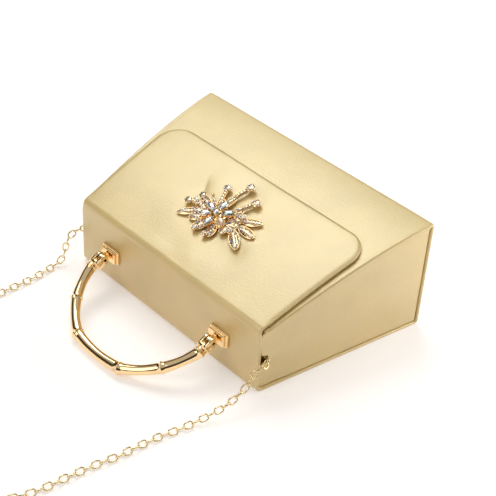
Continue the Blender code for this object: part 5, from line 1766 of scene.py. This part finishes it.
    def build(self) -> None:
        """Makes the metal, the pave stones, the claws and the large stones."""
        metal, seats, small = self.pave_work()
        stones = [(finish, *self.big_stone(angle)) for angle, finish in self.stone_turns]
        centre = almond((-0.0023, 0.0004), (0.0019, 0.0004), 0.0042, 1, 16)
        metal += [cup for _, _, cup, _ in stones] + [stacked(centre, self.centre_cup_profile)]
        large = np.concatenate([claws for _, _, _, claws in stones])
        cut = {finish: [stone for own, stone, _, _ in stones if own is finish] for finish in GLASSES}
        cut[Finish.CRYSTAL].append(stacked(centre, self.centre_stone_profile))
        setting = self.dress("brooch_metal", metal, Finish.ROSE_GOLD, True)
        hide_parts("brooch_setting")
        claws = (turned_forms(small, np.full(len(small), self.small_claw), self.bead, 6)
                 + turned_forms(large, np.full(len(large), self.large_claw), self.bead, 8))
        self.dress("brooch_claws", claws, Finish.ROSE_GOLD, True)
        seats = seats - np.array([0, 0, self.pave * 0.3])
        pave = turned_forms(seats, np.full(len(seats), self.pave), self.brilliant, 8, lean=self.pave_lean)
        self.dress("brooch_pave", pave, Finish.CRYSTAL, glass=PAVE_GLASS)
        names = ("brooch_crystals", "brooch_amber", "brooch_grey_green")
        crystal, amber, green = (self.dress(name, forms, finish)
                                 for name, (finish, forms) in zip(names, cut.items()))
        petals = [f"petal_stone_{index}" for index in range(1, 7)]
        rounds = [f"{kind}_stone_{index}" for kind, count in (("stem", 3), ("round", 5))
                  for index in range(1, count + 1)]
        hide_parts(*petals[:3], "centre_stone", *rounds)
        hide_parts(petals[3])
        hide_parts(*petals[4:])


@dataclass
class RingTab:
    """A folded strap sewn to the lining, which holds a D-ring's straight side in its loop."""

    form: BoxForm
    cloth: Material
    # The right tab's place on the lining, and degrees that the lining leans there
    seat: tuple = (0.078975, 0.02, 0.022)
    lean: float = 9.999
    # The ring's wire: distances from the lining and towards the mouth, and radius
    wire_depth: float = 0.0019
    wire_place: float = 0.0026
    wire: float = 0.0007
    # The strap: thickness, distance from its middle to its sewn end, width, points across
    wall: float = 0.0006
    tail: float = 0.0038
    width: float = 0.008
    columns: int = 9
    # The stitches: count, radius, distance from that end
    stitches: int = 9
    stitch: float = 0.0003
    stitch_inset: float = 0.0012

    def middle_line(self) -> Array:
        """The strap's middle line: two layers on the lining and a loop round the wire.

        Returns:
            Its points, as distances from the lining and along it.
        """
        reach = self.wire + self.form.gap + self.wall / 2
        turn = np.radians(np.linspace(180, 372, 20))
        loop = np.stack([self.wire_depth + reach * np.cos(turn), -self.wire_place + reach * np.sin(turn)], 1)
        below = self.form.gap + self.wall / 2
        above = below + self.wall + 0.00008
        knots = np.array([[above + 0.0008, -0.0008], [above + 0.0001, 0.0003], [above, 0.002],
                          [above, self.tail]])
        first = stretch(below, np.linspace(self.tail, -self.wire_place + 0.0004, 6))
        last = smooth_curve(np.concatenate([np.vstack([loop[-1:], knots]), np.zeros((5, 1))], 1), 5)[1:, :2]
        return np.concatenate([first, loop, last])

    def build(self, side: int, word: str) -> None:
        """Makes the strap with one row of stitches across its layers near the sewn end.

        Args:
            side: 1 for the right, -1 for the left.
            word: The side's name.
        """
        line = self.middle_line()
        heading = unit(np.gradient(line, axis=0))
        out = np.stack([-heading[:, 1], heading[:, 0]], 1) * self.wall / 2
        columns, count = self.columns, len(line)
        lean = side * math.radians(self.lean)

        def place(flat: Array, height: Array) -> Array:
            """Points from distances off the lining, along it and across the strap, turned with the lining."""
            x, y = -side * flat[..., 0], flat[..., 1]
            spun = np.stack([x * math.cos(lean) + y * math.sin(lean),
                             -x * math.sin(lean) + y * math.cos(lean)], -1)
            seat = np.array(self.seat) * np.array([side, 1, 1])
            return np.concatenate([spun + seat[:2], height[..., None] + seat[2]], -1)

        height = np.broadcast_to(np.linspace(-self.width / 2, self.width / 2, columns)[None], (count, columns))
        outer, inner = (place(np.repeat((line + way * out)[:, None], columns, 1), height) for way in (1, -1))
        rim = np.zeros((2 * (columns + count), 3))
        rim[:count, 2] = self.wall / 3
        rim[count + columns:2 * count + columns, 2] = -self.wall / 3
        cloth = np.stack([height, np.repeat(travelled(line)[:, None], columns, 1)], -1)
        marks = np.linspace(-self.width * 0.4, self.width * 0.4, self.stitches)
        top = self.form.gap + self.wall * 2 + 0.0001
        spots = np.broadcast_to([top, self.tail - self.stitch_inset], (self.stitches, 2))
        stitches = turned_forms(place(spots, marks), np.full(self.stitches, self.stitch), Brooch.bead, 6)
        patches = shell(outer, inner, rim, cloth, 5) + stitches
        piece = make_piece(f"ring_tab_{word}", patches, self.cloth, self.form.in_row)
        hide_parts(f"dring_tab_{word}")
        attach(piece, "body")


def dress_fittings(finishes: dict) -> None:
    """Gives each CAD node the finish of its slot in the record.

    Args:
        finishes: The materials, by finish.
    """
    for entry in frame["record"]["subparts"]:
        for place in frame["nodes"][entry["node"]].material_slots:
            place.material = finishes[Finish(entry["material_slot"])]


@dataclass(frozen=True)
class Softbox:
    """A square lamp: its direction and distance from the purse, the length of its sides, watts and colour."""

    name: str
    towards: tuple
    distance: float
    side: float
    power: float
    tint: tuple

    def build(self) -> None:
        """Hangs the lamp, turned towards the purse and hidden from the camera."""
        light = bpy.data.lights.new(self.name, "AREA")
        light.size = self.side
        light.energy = self.power
        light.color = self.tint
        lamp = bpy.data.objects.new(self.name, light)
        towards = Vector(self.towards).normalized()
        turn = towards.to_track_quat("Z", "Y").to_matrix().to_4x4()
        lamp.matrix_world = Matrix.Translation(towards * self.distance) @ turn
        lamp.visible_camera = False
        bpy.context.scene.collection.objects.link(lamp)


class Studio:
    """The floor, the room that the metal mirrors, and the lamps."""

    # Brightness of the room by the sine of the height: a pale horizon, a dim wall and a bright ceiling
    room = ((0.0, 1.0), (0.05, 0.8), (0.1, 0.06), (0.6, 0.04), (0.7, 0.46), (0.8, 0.52), (1.0, 0.52))
    lamps = (Softbox("back_softbox", (-0.46, 0.22, 0.86), 1.2, 0.7, 5.9, (0.97, 1.0, 0.93)),
             Softbox("side_softbox", (0.3, 0.31, 0.15), 0.44, 0.25, 0.85, (1.0, 0.97, 0.92)),
             Softbox("front_softbox", (-0.15, -0.8, 0.58), 1.3, 0.8, 4.4, (1.0, 0.9, 0.8)))
    floor_side = 6.0
    floor_colour = (0.91, 0.885, 0.89, 1)
    floor_glow = 0.33
    far_glow = 0.72
    glow_span = (0.3, 1.2)

    def floor(self) -> None:
        """A plain pale floor that keeps the purse's shadow.

        What looks at it sees a little plain white added, more of it far from the purse.
        """
        half = self.floor_side / 2
        corners = np.array([[[x, y, 0] for x in (-half, half)] for y in (-half, half)])
        floor = build_mesh("floor", [Patch(corners)], turn=False)
        look = {"Base Color": self.floor_colour, "Roughness": 0.8}
        material, nodes, shader = new_material("floor_white", look)
        path = nodes.add("LightPath").outputs
        seen = nodes.calc("MAXIMUM", path["Is Camera Ray"], path["Is Glossy Ray"])
        seen = nodes.calc("MAXIMUM", seen, path["Is Transmission Ray"])
        place = nodes.add("TexCoord").outputs["Object"]
        reach = nodes.add("VectorMath", {0: place}, operation="LENGTH").outputs["Value"]
        strength = nodes.remap(reach, self.glow_span, (self.floor_glow, self.far_glow))
        glow = nodes.add("Emission", {"Strength": nodes.calc("MULTIPLY", seen, strength)}).outputs[0]
        both = nodes.add("AddShader", {0: shader.outputs[0], 1: glow})
        nodes.feed(material.node_tree.nodes["Material Output"].inputs["Surface"], both.outputs[0])
        floor.data.materials.append(material)

    def surroundings(self) -> None:
        """The room: a grey that changes with the height of the direction."""
        world = bpy.data.worlds.new("studio")
        bpy.context.scene.world = world
        world.use_nodes = True
        nodes = Nodes(world.node_tree)
        height = nodes.add("SeparateXYZ", {0: nodes.add("TexCoord").outputs["Generated"]}).outputs["Z"]
        ramp = nodes.add("ValToRGB", {0: height})
        stops = ramp.color_ramp.elements
        for place, _ in self.room[1:-1]:
            stops.new(place)
        for stop, (place, value) in zip(stops, self.room):
            stop.position = place
            stop.color = (value, value, value, 1)
        nodes.feed(world.node_tree.nodes["Background"].inputs["Color"], ramp.outputs[0])

    def build(self) -> None:
        """Makes the whole studio."""
        self.floor()
        self.surroundings()
        for lamp in self.lamps:
            lamp.build()
        bpy.context.scene.view_settings.view_transform = "Standard"


def main() -> None:
    """Builds the scene's classes in order."""
    logging.basicConfig(level=logging.INFO, format="%(message)s")
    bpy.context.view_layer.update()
    form = BoxForm.from_frame()
    CameraPose().build(form)
    Studio().build()
    finishes = build_finishes()
    Chain(form, finishes[Finish.CHAIN_GOLD]).build()
    SatinCover(form, finishes[Finish.SATIN], "satin").build()
    Lining(form, finishes[Finish.LINING], "lining").build()
    Handle(form, finishes[Finish.ROSE_GOLD]).build()
    Brooch(form, finishes).build()
    for side, word in SIDES:
        RingTab(form, finishes[Finish.LINING]).build(side, word)
    dress_fittings(finishes)


if __name__ == "__main__":
    main()
